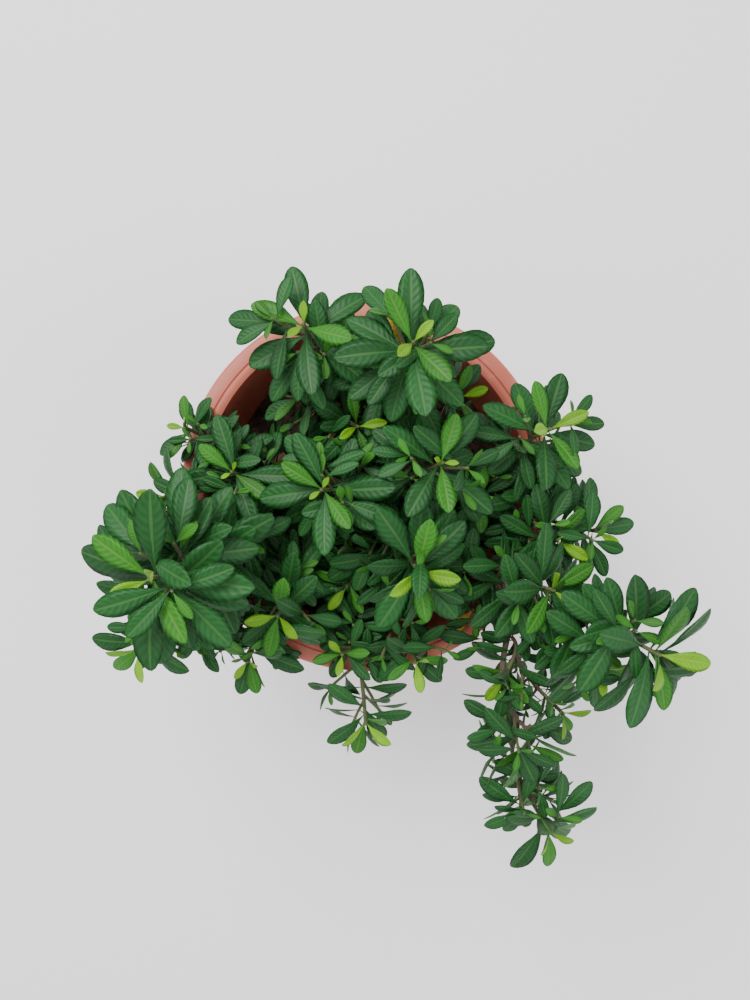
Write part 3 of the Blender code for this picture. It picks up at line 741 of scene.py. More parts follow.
for index, foliage in enumerate(grown):
    foliage.rule = random.Random(SEED * 7 + index)
    foliage.room = room_of(foliage.mass.name)
    foliage.on_side_twig = False
    foliage.flattened = TURNED_TO_LIGHT
    for stem, shoot in foliage.twigs:
        older = [pair for pair in OLDER_PAIRS if pair[0] * MM < stem.length * 0.92]
        foliage.grow_pairs(stem, shoot.leaf, shoot.spin, 0.8, older)
for index, foliage in enumerate(grown):
    hangs = foliage.mass.name.startswith("foliage_cascade")
    for stem, shoot in foliage.twigs:
        foliage.grow_finer(stem, shoot.leaf, 22 * MM, 0.8 if hangs else 0.93, FINE_PAIRS)
print("leaves on the masses", sum(len(f.leaves) for f in grown))


# %% Twigs on the boughs
bough_growth = []
for index, bough in enumerate(BOUGHS):
    foliage = Foliage(Mass(bough.name, bough.name, (), 0), 100 + index, solids)
    path, radii = limb_lines[bough.name]
    stem = Twig(path, radii[0], radii[-1])
    low, high = cad_box
    foliage.room = (Vector(low) - Vector((5 * MM,) * 3), Vector(high) + Vector((5 * MM,) * 3))
    foliage.flattened = TURNED_TO_LIGHT
    foliage.grow_finer(stem, 42, 6 * MM, 0.80, FINE_PAIRS)
    bough_growth.append(foliage)
everything = grown + bough_growth
all_leaves = [leaf for f in everything for leaf in f.leaves]
print("leaves in all", len(all_leaves), "twigs", sum(len(f.twigs) + len(f.side_twigs) for f in everything))


# %% [markdown]
# ## Shaders that several pieces share
#
# A leaf has a pale midrib, side veins that run forward to the margin, and blisters between them that
# catch the light. Its colour is also painted lighter on each blister and darker between them, as painted
# light and shade. Bark has fine cracks and pale dots. Both are node groups, so each is written once and
# used by several finishes, and each reads only what travels with the mesh.


# %% Node helpers
def shade_group(name, inputs, outputs):
    """An empty shader group with its named sockets."""
    group = bpy.data.node_groups.new(name, "ShaderNodeTree")
    for label, kind, value in inputs:
        socket = group.interface.new_socket(name=label, in_out="INPUT", socket_type=kind)
        socket.default_value = value
    for label, kind in outputs:
        group.interface.new_socket(name=label, in_out="OUTPUT", socket_type=kind)
    return group, group.nodes.new("NodeGroupInput"), group.nodes.new("NodeGroupOutput")


def math_node(tree, operation, a, b=None, c=None):
    """One math node. A number goes in as its value, a socket as a link."""
    node = tree.nodes.new("ShaderNodeMath")
    node.operation = operation
    for slot_number, value in enumerate((a, b, c)):
        if value is None:
            continue
        if isinstance(value, (int, float)):
            node.inputs[slot_number].default_value = value
        else:
            tree.links.new(value, node.inputs[slot_number])
    return node.outputs[0]


def ramp(tree, value, low, high):
    """0 below low, 1 above high, smooth between."""
    node = tree.nodes.new("ShaderNodeMapRange")
    node.interpolation_type = "SMOOTHSTEP"
    node.inputs["From Min"].default_value = low
    node.inputs["From Max"].default_value = high
    tree.links.new(value, node.inputs["Value"])
    return node.outputs["Result"]


def mix(tree, share, a, b):
    """A colour between a and b."""
    node = tree.nodes.new("ShaderNodeMix")
    node.data_type = "RGBA"
    for label, value in (("Factor", share), ("A", a), ("B", b)):
        socket = [s for s in node.inputs if s.name == label and (label == "Factor" or s.type == "RGBA")][0]
        if isinstance(value, (int, float, tuple)):
            socket.default_value = value
        else:
            tree.links.new(value, socket)
    return [s for s in node.outputs if s.type == "RGBA"][0]


def cloud(tree, scale, detail=3.0, where=None):
    """Soft noise from the place on the object."""
    node = tree.nodes.new("ShaderNodeTexNoise")
    node.inputs["Scale"].default_value = scale
    node.inputs["Detail"].default_value = detail
    if where is None:
        where = tree.nodes.new("ShaderNodeTexCoord").outputs["Object"]
    tree.links.new(where, node.inputs["Vector"])
    return node.outputs["Fac"]


def attribute(tree, name):
    """A number stored on the mesh."""
    node = tree.nodes.new("ShaderNodeAttribute")
    node.attribute_name = name
    return node.outputs["Fac"]


def finish_with(name, group, values, roughness, bump, coat=0.0, ior=1.45):
    """A principled finish that takes its colour, roughness and height from a group."""
    made = bpy.data.materials.new(name)
    made.use_nodes = True
    tree = made.node_tree
    shader = tree.nodes["Principled BSDF"]
    node = tree.nodes.new("ShaderNodeGroup")
    node.node_tree = group
    for label, value in values.items():
        node.inputs[label].default_value = value
    tree.links.new(node.outputs["Color"], shader.inputs["Base Color"])
    if roughness is None:
        tree.links.new(node.outputs["Roughness"], shader.inputs["Roughness"])
    else:
        shader.inputs["Roughness"].default_value = roughness
    shader.inputs["Coat Weight"].default_value = coat
    shader.inputs["Coat Roughness"].default_value = 0.28
    shader.inputs["IOR"].default_value = ior
    relief = tree.nodes.new("ShaderNodeBump")
    relief.inputs["Strength"].default_value, relief.inputs["Distance"].default_value = bump
    tree.links.new(node.outputs["Height"], relief.inputs["Height"])
    tree.links.new(relief.outputs["Normal"], shader.inputs["Normal"])
    return made


print("helpers ready")


# %% The leaf's surface
SIDE_VEINS = 10
leaf_group, gin, gout = shade_group(
    "leaf_surface",
    (
        ("Blade", "NodeSocketColor", (0.02, 0.09, 0.04, 1)),
        ("Vein", "NodeSocketColor", (0.12, 0.25, 0.08, 1)),
        ("Vein Share", "NodeSocketFloat", 0.6),
        # Painted light and shade: how much lighter each blister, and darker the veins between, are painted.
        ("Painted Blister Shading", "NodeSocketFloat", 0.35),
    ),
    (("Color", "NodeSocketColor"), ("Roughness", "NodeSocketFloat"), ("Height", "NodeSocketFloat")),
)
uv = leaf_group.nodes.new("ShaderNodeUVMap")
uv.uv_map = "leaf_uv"
split = leaf_group.nodes.new("ShaderNodeSeparateXYZ")
leaf_group.links.new(uv.outputs["UV"], split.inputs[0])
from_midrib = math_node(leaf_group, "MULTIPLY_ADD", split.outputs["X"], 2.0, -1.0)
across = math_node(leaf_group, "ABSOLUTE", from_midrib)
along = split.outputs["Y"]
midrib = math_node(leaf_group, "SUBTRACT", 1.0, ramp(leaf_group, across, 0.05, 0.15))
forward = math_node(leaf_group, "MULTIPLY_ADD", math_node(leaf_group, "POWER", across, 1.3), -0.16, along)
wave = math_node(leaf_group, "SINE", math_node(leaf_group, "MULTIPLY", forward, 2 * math.pi * SIDE_VEINS))
blister = math_node(leaf_group, "MULTIPLY_ADD", wave, 0.5, 0.5)
off_midrib = ramp(leaf_group, across, 0.03, 0.3)
off_stalk = ramp(leaf_group, along, 0.1, 0.25)
inside = math_node(leaf_group, "MULTIPLY", off_midrib, off_stalk)
blister_here = math_node(leaf_group, "MULTIPLY", blister, inside)
tone = attribute(leaf_group, "tone")
mottle = cloud(leaf_group, 160.0)
shade = math_node(leaf_group, "MULTIPLY_ADD", mottle, 0.5, 0.75)
shade = math_node(leaf_group, "MULTIPLY", shade, math_node(leaf_group, "MULTIPLY_ADD", tone, 0.7, 0.65))
# Painted light and shade: the blade's colour is made lighter on each blister and darker between them.
around_none = math_node(leaf_group, "SUBTRACT", blister_here, 0.5)
painted_blister_light_and_shade = math_node(leaf_group, "MULTIPLY", around_none, gin.outputs["Painted Blister Shading"])
shade = math_node(leaf_group, "MULTIPLY", shade, math_node(leaf_group, "ADD", painted_blister_light_and_shade, 1.0))
scaled = leaf_group.nodes.new("ShaderNodeVectorMath")
scaled.operation = "SCALE"
leaf_group.links.new(gin.outputs["Blade"], scaled.inputs[0])
leaf_group.links.new(shade, scaled.inputs["Scale"])
vein_here = math_node(leaf_group, "MULTIPLY", midrib, gin.outputs["Vein Share"])
leaf_group.links.new(mix(leaf_group, vein_here, scaled.outputs[0], gin.outputs["Vein"]), gout.inputs["Color"])
rough = math_node(leaf_group, "MULTIPLY_ADD", mottle, 0.18, 0.36)
leaf_group.links.new(rough, gout.inputs["Roughness"])
height = math_node(leaf_group, "MULTIPLY_ADD", midrib, -1.2, blister_here)
leaf_group.links.new(height, gout.inputs["Height"])


LEAF_IOR = 1.30


def leaf_finish(name, blade_colour, vein_colour, share, painted_blister_shading, coat=0.25):
    """One kind of leaf: its blade and midrib colours, and how strongly light and shade are painted across its
    blisters.
    """
    values = {"Blade": (*blade_colour, 1), "Vein": (*vein_colour, 1), "Vein Share": share, "Painted Blister Shading": painted_blister_shading}
    return finish_with(name, leaf_group, values, None, (0.28, 0.0008), coat, LEAF_IOR)


# The fifth argument of leaf_finish is the strength of the painted light and shade across the blisters.
leaf_finishes = {
    "dark": leaf_finish("leaf_dark", (0.011, 0.075, 0.014), (0.065, 0.185, 0.040), 0.40, 0.24, 0.03),
    "light": leaf_finish("leaf_light", (0.026, 0.145, 0.010), (0.11, 0.27, 0.03), 0.42, 0.24, 0.03),
    "young": leaf_finish("leaf_young", (0.130, 0.315, 0.006), (0.30, 0.46, 0.03), 0.35, 0.2, 0.03),
    "yellow": leaf_finish("leaf_yellow", (0.52, 0.30, 0.03), (0.6, 0.45, 0.1), 0.5, 0.25, 0.1),
}
underside = leaf_finish("leaf_underside", (0.045, 0.120, 0.038), (0.15, 0.25, 0.09), 0.6, 0.15, 0.0)
print("leaf finishes", sorted(leaf_finishes))


# %% Bark, twigs, plastic and soil
bark_group, gin, gout = shade_group(
    "bark_surface",
    (
        ("Green", "NodeSocketColor", (0.09, 0.13, 0.035, 1)),
        ("Wood", "NodeSocketColor", (0.13, 0.085, 0.055, 1)),
    ),
    (("Color", "NodeSocketColor"), ("Height", "NodeSocketFloat")),
)
age = attribute(bark_group, "age")
grain = cloud(bark_group, 900.0, 6.0)
patch = cloud(bark_group, 140.0, 4.0)
wood_share = ramp(bark_group, math_node(bark_group, "MULTIPLY_ADD", patch, 0.5, age), 0.35, 0.85)
base = mix(bark_group, wood_share, gin.outputs["Green"], gin.outputs["Wood"])
dots = ramp(bark_group, grain, 0.58, 0.70)
spotted = mix(bark_group, math_node(bark_group, "MULTIPLY", dots, 0.45), base, (0.34, 0.28, 0.21, 1))
worn = mix(bark_group, math_node(bark_group, "MULTIPLY", patch, 0.6), spotted, (0.045, 0.03, 0.02, 1))
bark_group.links.new(worn, gout.inputs["Color"])
bark_group.links.new(math_node(bark_group, "MULTIPLY_ADD", patch, 0.7, grain), gout.inputs["Height"])
twig_finish = finish_with("twig_bark", bark_group, {}, 0.7, (0.5, 0.0005))
bark_finish = finish_with("old_bark", bark_group, {"Wood": (0.17, 0.125, 0.09, 1)}, 0.85, (0.9, 0.0011))

pot_group, gin, gout = shade_group(
    "moulded_plastic",
    (
        ("Plastic", "NodeSocketColor", (0.50, 0.120, 0.075, 1)),
        ("Dust", "NodeSocketColor", (0.56, 0.27, 0.20, 1)),
    ),
    (("Color", "NodeSocketColor"), ("Roughness", "NodeSocketFloat"), ("Height", "NodeSocketFloat")),
)
where = pot_group.nodes.new("ShaderNodeTexCoord").outputs["Object"]
spread = pot_group.nodes.new("ShaderNodeMapping")
spread.inputs["Scale"].default_value = (1, 1, 0.25)
pot_group.links.new(where, spread.inputs["Vector"])
film = cloud(pot_group, 26.0, 5.0, spread.outputs["Vector"])
speck = cloud(pot_group, 620.0, 4.0)
scuff = ramp(pot_group, cloud(pot_group, 95.0, 8.0, spread.outputs["Vector"]), 0.60, 0.74)
dusty = math_node(pot_group, "MULTIPLY", ramp(pot_group, film, 0.35, 0.75), 0.42)
body = mix(pot_group, dusty, gin.outputs["Plastic"], gin.outputs["Dust"])
body = mix(pot_group, math_node(pot_group, "MULTIPLY", scuff, 0.07), body, (0.78, 0.55, 0.47, 1))
speck_share = math_node(pot_group, "MULTIPLY", ramp(pot_group, speck, 0.66, 0.74), 0.4)
body = mix(pot_group, speck_share, body, (0.2, 0.08, 0.05, 1))
pot_group.links.new(body, gout.inputs["Color"])
pot_rough = math_node(pot_group, "MULTIPLY_ADD", film, 0.2, 0.34)
pot_group.links.new(math_node(pot_group, "MULTIPLY_ADD", scuff, 0.15, pot_rough), gout.inputs["Roughness"])
pot_group.links.new(math_node(pot_group, "MULTIPLY_ADD", speck, 0.3, film), gout.inputs["Height"])
pot_finish = finish_with("pot_plastic", pot_group, {}, None, (0.12, 0.0006))

soil_group, gin, gout = shade_group(
    "potting_soil",
    (
        ("Wet", "NodeSocketColor", (0.020, 0.011, 0.007, 1)),
        ("Dry", "NodeSocketColor", (0.085, 0.047, 0.030, 1)),
    ),
    (("Color", "NodeSocketColor"), ("Height", "NodeSocketFloat")),
)
clump = cloud(soil_group, 85.0, 8.0)
grit = cloud(soil_group, 800.0, 5.0)
earth = mix(soil_group, ramp(soil_group, clump, 0.38, 0.68), gin.outputs["Wet"], gin.outputs["Dry"])
grit_share = math_node(soil_group, "MULTIPLY", ramp(soil_group, grit, 0.60, 0.72), 0.5)
earth = mix(soil_group, grit_share, earth, (0.22, 0.15, 0.10, 1))
soil_group.links.new(earth, gout.inputs["Color"])
soil_group.links.new(math_node(soil_group, "MULTIPLY_ADD", clump, 1.5, grit), gout.inputs["Height"])
soil_finish = finish_with("soil_mix", soil_group, {}, 0.95, (0.9, 0.002))
litter_colours = {"Wet": (0.10, 0.05, 0.025, 1), "Dry": (0.27, 0.16, 0.08, 1)}
litter_finish = finish_with("dry_litter", soil_group, litter_colours, 0.8, (0.4, 0.0006))
print("materials", len(bpy.data.materials))


# %% [markdown]
# ## Leaves
#
# One leaf is a small grid: five points across, from margin over midrib to margin, at nine stations from
# petiole to tip. Folding it along the midrib, arching it and puffing its halves gives a leaf that
# catches light like a real one. Its lower side is a second sheet that shares the outline, so the leaf is
# closed. Thousands of them are cheap, because one template is placed many times in array code.


# %% The template of a leaf
STATIONS = np.array((0.0, 0.07, 0.17, 0.30, 0.44, 0.57, 0.69, 0.80, 0.89, 0.96, 1.0))
HALF_WIDTHS = np.array((0.055, 0.07, 0.19, 0.48, 0.78, 0.96, 1.0, 0.91, 0.70, 0.42, 0.10))
ACROSS = np.array((-1.0, -0.52, 0.0, 0.52, 1.0))
BLADE_WIDTH = 0.37
rows, columns = len(STATIONS), len(ACROSS)


def template_faces():
    """Faces of one leaf, and for each corner its place across and along the blade."""
    under = rows * columns
    faces, lower = [], []
    for r in range(rows - 1):
        for c in range(columns - 1):
            a = r * columns + c
            faces.append((a, a + 1, a + columns + 1, a + columns))
    upper = len(faces)
    for r in range(rows - 1):
        left, right = r * columns, r * columns + columns - 1
        faces.append((left, left + columns, under + r + 1, under + r))
        faces.append((under + r, under + r + 1, right + columns, right))
    faces.append((0, under, 4, 3, 2, 1))
    top = (rows - 1) * columns
    faces.append((top, top + 1, top + 2, top + 3, top + 4, under + rows - 1))
    places = [(0.5 + ACROSS[c] / 2, STATIONS[r]) for r in range(rows) for c in range(columns)]
    places += [(0.5, STATIONS[r]) for r in range(rows)]
    return faces, upper, np.array(places)


leaf_faces, upper_faces, leaf_places = template_faces()


def blade_points(leaf, rule):
    """The points of one leaf."""
    along = leaf.along.normalized()
    across = along.cross(leaf.face_up).normalized()
    across = Quaternion(along, rule.uniform(-0.16, 0.16)) @ across
    up = across.cross(along)
    size = leaf.size
    half = HALF_WIDTHS[:, None] * BLADE_WIDTH * size / 2 * rule.uniform(0.93, 1.08)
    young = leaf.kind == "young"
    fold = rule.uniform(0.30, 0.52) if young else rule.uniform(0.10, 0.30)
    arch = rule.uniform(0.04, 0.16) if young else rule.uniform(0.06, 0.20)
    bend = rule.uniform(-0.05, 0.05)
    t = STATIONS[:, None]
    x = ACROSS[None, :] * half + bend * size * t**2
    y = np.broadcast_to(t * size, x.shape)
    off_middle = np.abs(ACROSS[None, :])
    ripple = 0.012 * size * np.sin(9.0 * t + rule.uniform(0, 6.28)) * off_middle * np.sin(math.pi * t)
    puff = 0.020 * size * (off_middle == 0.52) * np.sin(math.pi * np.clip(t * 1.05, 0, 1))
    z = fold * off_middle * half + size * (0.5 * arch * t - arch * t**2) + ripple + puff
    depth = 0.013 * size * np.sin(math.pi * (0.12 + 0.8 * STATIONS))
    middle = np.stack((x[:, 2], y[:, 2], z[:, 2] - depth - 0.0003), 1)
    local = np.concatenate((np.stack((x, y, z), 2).reshape(-1, 3), middle))
    axes = np.array((across, along, up))
    return local @ axes + np.array(leaf.root)


def joined(name, blocks, faces, finishes, tones=None, places=None, second=None):
    """One mesh from many blocks of points that share a list of faces."""
    points = np.concatenate(blocks).astype(np.float32)
    block = len(blocks[0])
    sizes = np.array([len(f) for f in faces])
    corners = np.concatenate([np.array(f) for f in faces])
    count = len(blocks)
    loops = (corners[None, :] + block * np.arange(count)[:, None]).reshape(-1).astype(np.int32)
    totals = np.tile(sizes, count).astype(np.int32)
    starts = np.concatenate(([0], np.cumsum(totals)[:-1])).astype(np.int32)
    mesh = bpy.data.meshes.new(name)
    mesh.vertices.add(len(points))
    mesh.vertices.foreach_set("co", points.reshape(-1))
    mesh.loops.add(len(loops))
    mesh.loops.foreach_set("vertex_index", loops)
    mesh.polygons.add(len(totals))
    mesh.polygons.foreach_set("loop_start", starts)
    mesh.polygons.foreach_set("loop_total", totals)
    if places is not None:
        layer = mesh.uv_layers.new(name="leaf_uv")
        layer.data.foreach_set("uv", np.tile(places[corners], (count, 1)).astype(np.float32).reshape(-1))
    if tones is not None:
        tone = mesh.attributes.new(tones[0], "FLOAT", "POINT")
        tone.data.foreach_set("value", np.repeat(np.array(tones[1]), block).astype(np.float32))
    for finish in finishes:
        mesh.materials.append(finish)
    if second is not None:
        mesh.polygons.foreach_set("material_index", np.tile(second, count).astype(np.int32))
    mesh.polygons.foreach_set("use_smooth", np.ones(len(totals), dtype=bool))
    mesh.update(calc_edges=True)
    mesh.validate()
    made = bpy.data.objects.new(name, mesh)
    bpy.context.scene.collection.objects.link(made)
    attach(made, "root")
    return made


print("faces of a leaf", len(leaf_faces))


# %% [markdown]
# ## Colours that have a place
#
# A few old leaves in the photo have turned yellow or orange. For each such place the nearest small dark
# leaf takes that colour, and keeps the shape that the rule gave it.


# %% Leaves of each kind
LARGEST_YELLOW = 34 * MM
YELLOW_AT = ((78, -105), (117, -103), (18, 128), (-143, -8), (-188, -58), (104, -92))


def with_kinds(leaves):
    """The leaves sorted by kind, with the nearest old leaf to each yellow place taken out of the dark."""
    kinds = {"dark": [], "light": [], "young": [], "yellow": []}
    for leaf in leaves:
        kinds[leaf.kind].append(leaf)
    for x, y in YELLOW_AT:
        spot = Vector((x * MM, y * MM))
        small = [leaf for leaf in kinds["dark"] if leaf.size < LARGEST_YELLOW]
        nearest = min(small, key=lambda leaf: ((leaf.root + leaf.along * leaf.size / 2).xy - spot).length)
        kinds["dark"].remove(nearest)
        kinds["yellow"].append(nearest)
    return kinds


leaf_pieces = []
for kind, leaves in with_kinds(all_leaves).items():
    rule = random.Random(SEED + len(kind))
    blocks = [blade_points(leaf, rule) for leaf in leaves]
    tones = [rule.uniform(0.2, 0.8) for _ in leaves]
    under = np.zeros(len(leaf_faces), dtype=int)
    under[upper_faces:] = 1
    piece = joined(
        "leaves_" + kind,
        blocks,
        leaf_faces,
        (leaf_finishes[kind], underside),
        ("tone", tones),
        leaf_places,
        under,
    )
    leaf_pieces.append(piece)
    print(kind, len(leaves), "leaves", sum(len(p.vertices) - 2 for p in piece.data.polygons), "triangles")


# %% [markdown]
# ## Limbs with bark
#
# Limbs are smooth tubes through the rule's centre lines. Bark relief is in the mesh: shallow ridges along
# the limb, and swollen rings at a steady pitch, like the scars that old pairs of leaves leave.


# %% Twigs and boughs
def finer(path, radii, times):
    """More points on a smooth line through a path, with radii to match."""
    found, sizes = [], []
    last = len(path) - 1
    for i in range(last):
        p0, p1, p2 = path[max(i - 1, 0)], path[i], path[i + 1]
        p3 = path[min(i + 2, last)]
        for k in range(times):
            t = k / times
            square = (2 * p0 - 5 * p1 + 4 * p2 - p3) * t**2
            cube = (3 * p1 - p0 - 3 * p2 + p3) * t**3
            found.append(0.5 * (2 * p1 + (p2 - p0) * t + square + cube))
            sizes.append(radii[i] + (radii[i + 1] - radii[i]) * t)
    return found + [path[-1]], sizes + [radii[-1]]


def limb_mesh(name, limbs, sides, times, finish, relief, ring_pitch):
    """All limbs of one kind in one mesh, with an attribute for their age."""
    points, faces, ages = [], [], []
    for path, radii, young_end, old_end in limbs:
        line, sizes = finer(path, radii, times)
        lengths = [0.0]
        for a, b in zip(line, line[1:]):
            lengths.append(lengths[-1] + (b - a).length)
        some, shapes = tube(line, sizes, sides, round_tip=True)
        first = len(points)
        for number, point in enumerate(some):
            row = min(number // sides, len(line) - 1)
            on_tube = number // sides < len(line)
            out = point - line[row]
            ring = math.exp(-(((lengths[row] / ring_pitch) % 1.0 - 0.5) / 0.09) ** 2)
            ridge = math.sin(3 * (number % sides) + 160 * lengths[row]) * math.sin(900 * lengths[row])
            swollen = line[row] + out * (1 + relief * (0.9 * ring + 0.45 * ridge))
            points.append(swollen if on_tube else point)
            ages.append(old_end + (young_end - old_end) * lengths[row] / lengths[-1])
        faces += [tuple(first + v for v in shape) for shape in shapes]
    mesh = bpy.data.meshes.new(name)
    mesh.from_pydata([tuple(p) for p in points], [], faces)
    mesh.validate()
    mesh.materials.append(finish)
    mesh.shade_smooth()
    layer = mesh.attributes.new("age", "FLOAT", "POINT")
    layer.data.foreach_set("value", ages)
    made = bpy.data.objects.new(name, mesh)
    bpy.context.scene.collection.objects.link(made)
    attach(made, "root")
    return made


twig_limbs = []
for foliage in everything:
    for twig, shoot in foliage.twigs:
        twig_limbs.append((twig.path, [r * 0.95 for r in twig.radii], 0.0, 0.75))
    for twig in foliage.side_twigs:
        twig_limbs.append((twig.path, [r * 0.8 for r in twig.radii], 0.0, 0.5))
twigs = limb_mesh("twigs", twig_limbs, 6, 4, twig_finish, 0.10, 7 * MM)
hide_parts(*[mass.name for mass in MASSES])
bark_limbs = []
for name, (path, radii) in limb_lines.items():
    path, radii = list(path), list(radii)
    if name != "trunk":
        path[0] = path[0] - (path[1] - path[0]).normalized() * 2.5 * MM
    bark_limbs.append((path, radii, 0.8 if name != "trunk" else 1.0, 1.0))
bark = limb_mesh("bark_limbs", bark_limbs, 14, 10, bark_finish, 0.07, 13 * MM)
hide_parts("trunk", *[bough.name for bough in BOUGHS])
print("twigs", len(twig_limbs), "limbs", len(bark_limbs))


# %% [markdown]
# ## The pot
#
# A pot is a turned form, so half its section is drawn once and spun. The rim is a flat pink band with a
# fine groove and a narrower inner band, and below it the wall goes down to the soil.


# %% Spinning the pot
def arc(centre, radius, start, end, steps):
    """Points on an arc in the section's plane, angles in degrees."""
    found = []
    for i in range(steps + 1):
        a = math.radians(start + (end - start) * i / steps)
        found.append((centre[0] + radius * math.cos(a), centre[1] + radius * math.sin(a)))
    return found


def wall_radius(height):
    """Outer radius of the pot's tapering wall."""
    neck = RIM_RADIUS - RIM_FLAT - LIP_STEP + WALL
    return BASE_RADIUS + (neck - BASE_RADIUS) * height / POT_HEIGHT


skirt = POT_HEIGHT - RIM_SKIRT
flat = RIM_RADIUS - RIM_FLAT
section = [(0.0, 0.0), (0.060, 0.0), (BASE_RADIUS - 4 * MM, 0.0)]
section += arc((BASE_RADIUS - 1.8 * MM, 1.8 * MM), 1.8 * MM, -90, 0, 5)
section += [(wall_radius(h), h) for h in (0.03, 0.08, 0.13, 0.18, skirt - 2 * MM)]
section += [(wall_radius(skirt) + 0.4 * MM, skirt + 1.0 * MM), (wall_radius(skirt) + 2 * MM, skirt + 2 * MM)]
section += [(RIM_RADIUS - 5 * MM, skirt + 2 * MM)]
section += arc((RIM_RADIUS - 3.4 * MM, skirt + 1.2 * MM), 1.2 * MM, 180, 360, 8)
section += [(RIM_RADIUS - 1.6 * MM, skirt + 10 * MM), (RIM_RADIUS - 0.5 * MM, skirt + 20 * MM)]
section += arc((RIM_RADIUS - RIM_ROUND, POT_HEIGHT - RIM_ROUND), RIM_ROUND, 0, 90, 7)
section += [(flat + 2.2 * MM, POT_HEIGHT), (flat + 1.3 * MM, POT_HEIGHT - 0.15 * MM)]
section += [(flat + 0.7 * MM, POT_HEIGHT - 1.1 * MM), (flat, POT_HEIGHT - 1.3 * MM)]
section += [(flat - 0.6 * MM, POT_HEIGHT - 0.5 * MM), (flat - 1.6 * MM, POT_HEIGHT - 0.3 * MM)]
lip = flat - LIP_STEP
section += [(lip + 2.2 * MM, POT_HEIGHT - 1.2 * MM), (lip + 0.6 * MM, POT_HEIGHT - 2.0 * MM)]
section += [(lip, POT_HEIGHT - 3.6 * MM), (wall_radius(skirt) - WALL, skirt)]
section += [(wall_radius(h) - WALL, h) for h in (0.215, 0.19, 0.13, 0.07, 0.02, 6 * MM)]
section += [(wall_radius(FLOOR) - WALL - 2 * MM, FLOOR), (0.05, FLOOR), (0.0, FLOOR)]
mesh = bpy.data.meshes.new("pot_shell")
mesh.from_pydata([(r, 0, z) for r, z in section], [(i, i + 1) for i in range(len(section) - 1)], [])
pot = bpy.data.objects.new("pot_shell", mesh)
bpy.context.scene.collection.objects.link(pot)
bpy.ops.object.select_all(action="DESELECT")
bpy.context.view_layer.objects.active = pot
pot.select_set(True)
bpy.ops.object.mode_set(mode="EDIT")
bpy.ops.mesh.select_all(action="SELECT")
bpy.ops.mesh.spin(steps=180, angle=2 * math.pi, center=(0, 0, 0), axis=(0, 0, 1))
bpy.ops.mesh.select_all(action="SELECT")
bpy.ops.mesh.remove_doubles(threshold=0.00002)
bpy.ops.mesh.normals_make_consistent(inside=False)
bpy.ops.object.mode_set(mode="OBJECT")
holes = bmesh.new()
for i in range(DRAIN_HOLES):
    turn = 2 * math.pi * i / DRAIN_HOLES
    at = Matrix.Translation((DRAIN_CIRCLE * math.cos(turn), DRAIN_CIRCLE * math.sin(turn), FLOOR / 2))
    bmesh.ops.create_cone(
        holes,
        cap_ends=True,
        segments=28,
        radius1=DRAIN_RADIUS,
        radius2=DRAIN_RADIUS,
        depth=4 * FLOOR,
        matrix=at,
    )
cutter_mesh = bpy.data.meshes.new("drains")
holes.to_mesh(cutter_mesh)
holes.free()
cutter = bpy.data.objects.new("drains", cutter_mesh)
bpy.context.scene.collection.objects.link(cutter)
drill = pot.modifiers.new("drains", "BOOLEAN")
drill.operation = "DIFFERENCE"
drill.solver = "EXACT"
drill.object = cutter
bpy.ops.object.modifier_apply(modifier="drains")
bpy.data.objects.remove(cutter, do_unlink=True)
pot.data.materials.clear()
pot.data.materials.append(pot_finish)
pot.data.shade_smooth()
pot.data.set_sharp_from_angle(angle=math.radians(38))
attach(pot, "root")
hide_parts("pot")
print("pot faces", len(pot.data.polygons))


# %% [markdown]
# ## Soil and litter
#
# The soil shows between the leaves, dark and rough, with crumbs, dead twigs and fallen leaves on it.


# %% The soil's surface
def soil_height(x, y):
    """Height of the soil: the mound of the solid, with finer clods."""
    radius = math.hypot(x, y)
    turn = math.atan2(y, x)
    share = (radius - SOIL_FLAT_RADIUS) / (SOIL_EDGE - SOIL_FLAT_RADIUS)
    share = min(1.0, max(0.0, share))
    clods = math.sin(3 * turn + CLOD_TWIST * radius) * math.cos(5 * turn - 2 * CLOD_TWIST * radius)
    return SOIL_HEIGHT + SOIL_CROWN * (1 - share**2) + 4 * SOIL_CLODS * clods * share * (1 - share)


CRUMB_NOISE = ((2.6 * MM, 60), (1.4 * MM, 170), (0.7 * MM, 420))


def rough_soil(x, y):
    """The soil's height with its crumbs."""
    spot = Vector((x, y, 0.0))
    fine = sum(height * noise.noise(spot * pitch) for height, pitch in CRUMB_NOISE)
    return soil_height(x, y) + fine * min(1.0, max(0.25, (math.hypot(x, y) - 0.012) / 0.02))


work = bmesh.new()
SOIL_RINGS, SOIL_SIDES = 64, 180
centre = work.verts.new((0, 0, rough_soil(0, 0)))
before = None
for r in range(1, SOIL_RINGS + 1):
    radius = SOIL_EDGE * r / SOIL_RINGS
    ring = []
    for i in range(SOIL_SIDES):
        turn = 2 * math.pi * i / SOIL_SIDES
        x, y = radius * math.cos(turn), radius * math.sin(turn)
        ring.append(work.verts.new((x, y, rough_soil(x, y))))
    for i in range(SOIL_SIDES):
        j = (i + 1) % SOIL_SIDES
        work.faces.new((before[i], ring[i], ring[j], before[j]) if before else (centre, ring[i], ring[j]))
    before = ring
low = []
for i in range(SOIL_SIDES):
    turn = 2 * math.pi * i / SOIL_SIDES
    radius = wall_radius(FLOOR) - WALL - 3 * MM
    low.append(work.verts.new((radius * math.cos(turn), radius * math.sin(turn), FLOOR + GAP)))
for i in range(SOIL_SIDES):
    j = (i + 1) % SOIL_SIDES
    work.faces.new((low[i], low[j], before[j], before[i]))
work.faces.new(low[::-1])
bmesh.ops.recalc_face_normals(work, faces=work.faces)
mesh = bpy.data.meshes.new("soil_bed")
work.to_mesh(mesh)
work.free()
soil = bpy.data.objects.new("soil_bed", mesh)
bpy.context.scene.collection.objects.link(soil)
mesh.materials.append(soil_finish)
mesh.shade_smooth()
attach(soil, "root")
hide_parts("soil")
print("soil faces", len(mesh.polygons))


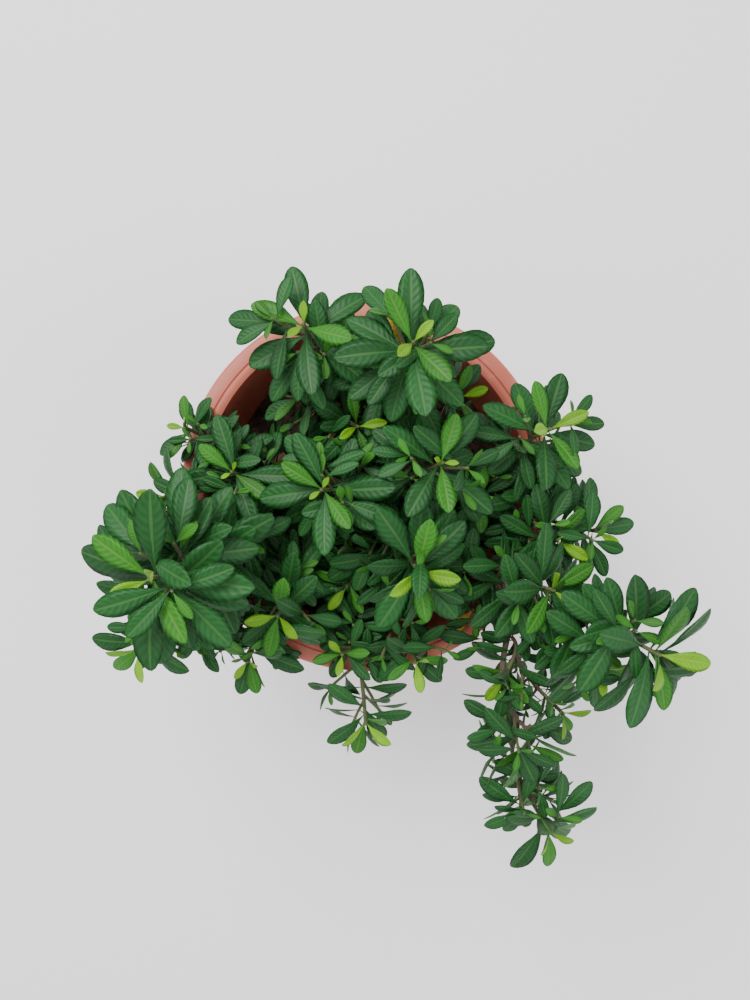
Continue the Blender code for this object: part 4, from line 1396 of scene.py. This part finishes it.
# %% Crumbs, dead twigs and fallen leaves
CRUMBS = 900
FALLEN_LEAVES = 46
FALLEN_MARGIN = 42 * MM
DEAD_TWIGS = 120
STICK_MARGIN = 32 * MM
rule = random.Random(SEED + 500)
ball = bmesh.new()
bmesh.ops.create_icosphere(ball, subdivisions=1, radius=1.0)
ball_points = np.array([v.co for v in ball.verts])
ball_faces = [tuple(v.index for v in f.verts) for f in ball.faces]
ball.free()


def on_soil(rule, margin=3 * MM):
    """A random place on the soil, off the trunk."""
    while True:
        radius = (SOIL_EDGE - margin) * math.sqrt(rule.random())
        turn = rule.uniform(0, 2 * math.pi)
        if radius > 18 * MM:
            return radius * math.cos(turn), radius * math.sin(turn)


crumbs = []
for _ in range(CRUMBS):
    x, y = on_soil(rule)
    size = rule.choice((0.8, 1.1, 1.4, 1.9, 2.6)) * MM
    squash = np.array([rule.uniform(0.7, 1.3), rule.uniform(0.7, 1.3), rule.uniform(0.5, 0.9)])
    jitter = np.array([[rule.uniform(0.8, 1.2)] for _ in ball_points])
    crumbs.append(ball_points * jitter * squash * size + np.array((x, y, rough_soil(x, y) + 0.2 * size)))
joined("soil_crumbs", crumbs, ball_faces, (soil_finish,))
fallen = []
for _ in range(FALLEN_LEAVES):
    x, y = on_soil(rule, FALLEN_MARGIN)
    turn = rule.uniform(0, 2 * math.pi)
    along = Vector((math.cos(turn), math.sin(turn), rule.uniform(-0.05, 0.22)))
    up = Vector((rule.uniform(-0.5, 0.5), rule.uniform(-0.5, 0.5), 1))
    foot = Vector((x, y, rough_soil(x, y) + 2.5 * MM))
    fallen.append(blade_points(Leaf(foot, along, up, rule.uniform(18, 34) * MM, "young"), rule))
joined("fallen_leaves", fallen, leaf_faces, (litter_finish,), None, leaf_places)
sticks = []
for _ in range(DEAD_TWIGS):
    x, y = on_soil(rule, STICK_MARGIN)
    turn = rule.uniform(0, 2 * math.pi)
    length = rule.uniform(8, 26) * MM
    heading = Vector((math.cos(turn), math.sin(turn), rule.uniform(-0.05, 0.1)))
    start = Vector((x, y, rough_soil(x, y) + 1.4 * MM))
    thick = rule.uniform(0.3, 0.7) * MM
    halfway = start + heading * length * 0.5 + Vector((0, 0, thick))
    points, stick_faces = tube([start, halfway, start + heading * length], [thick] * 3, 5)
    sticks.append(np.array(points))
joined("dead_twigs", sticks, stick_faces, (litter_finish,))
print("crumbs", len(crumbs), "fallen", len(fallen), "sticks", len(sticks))
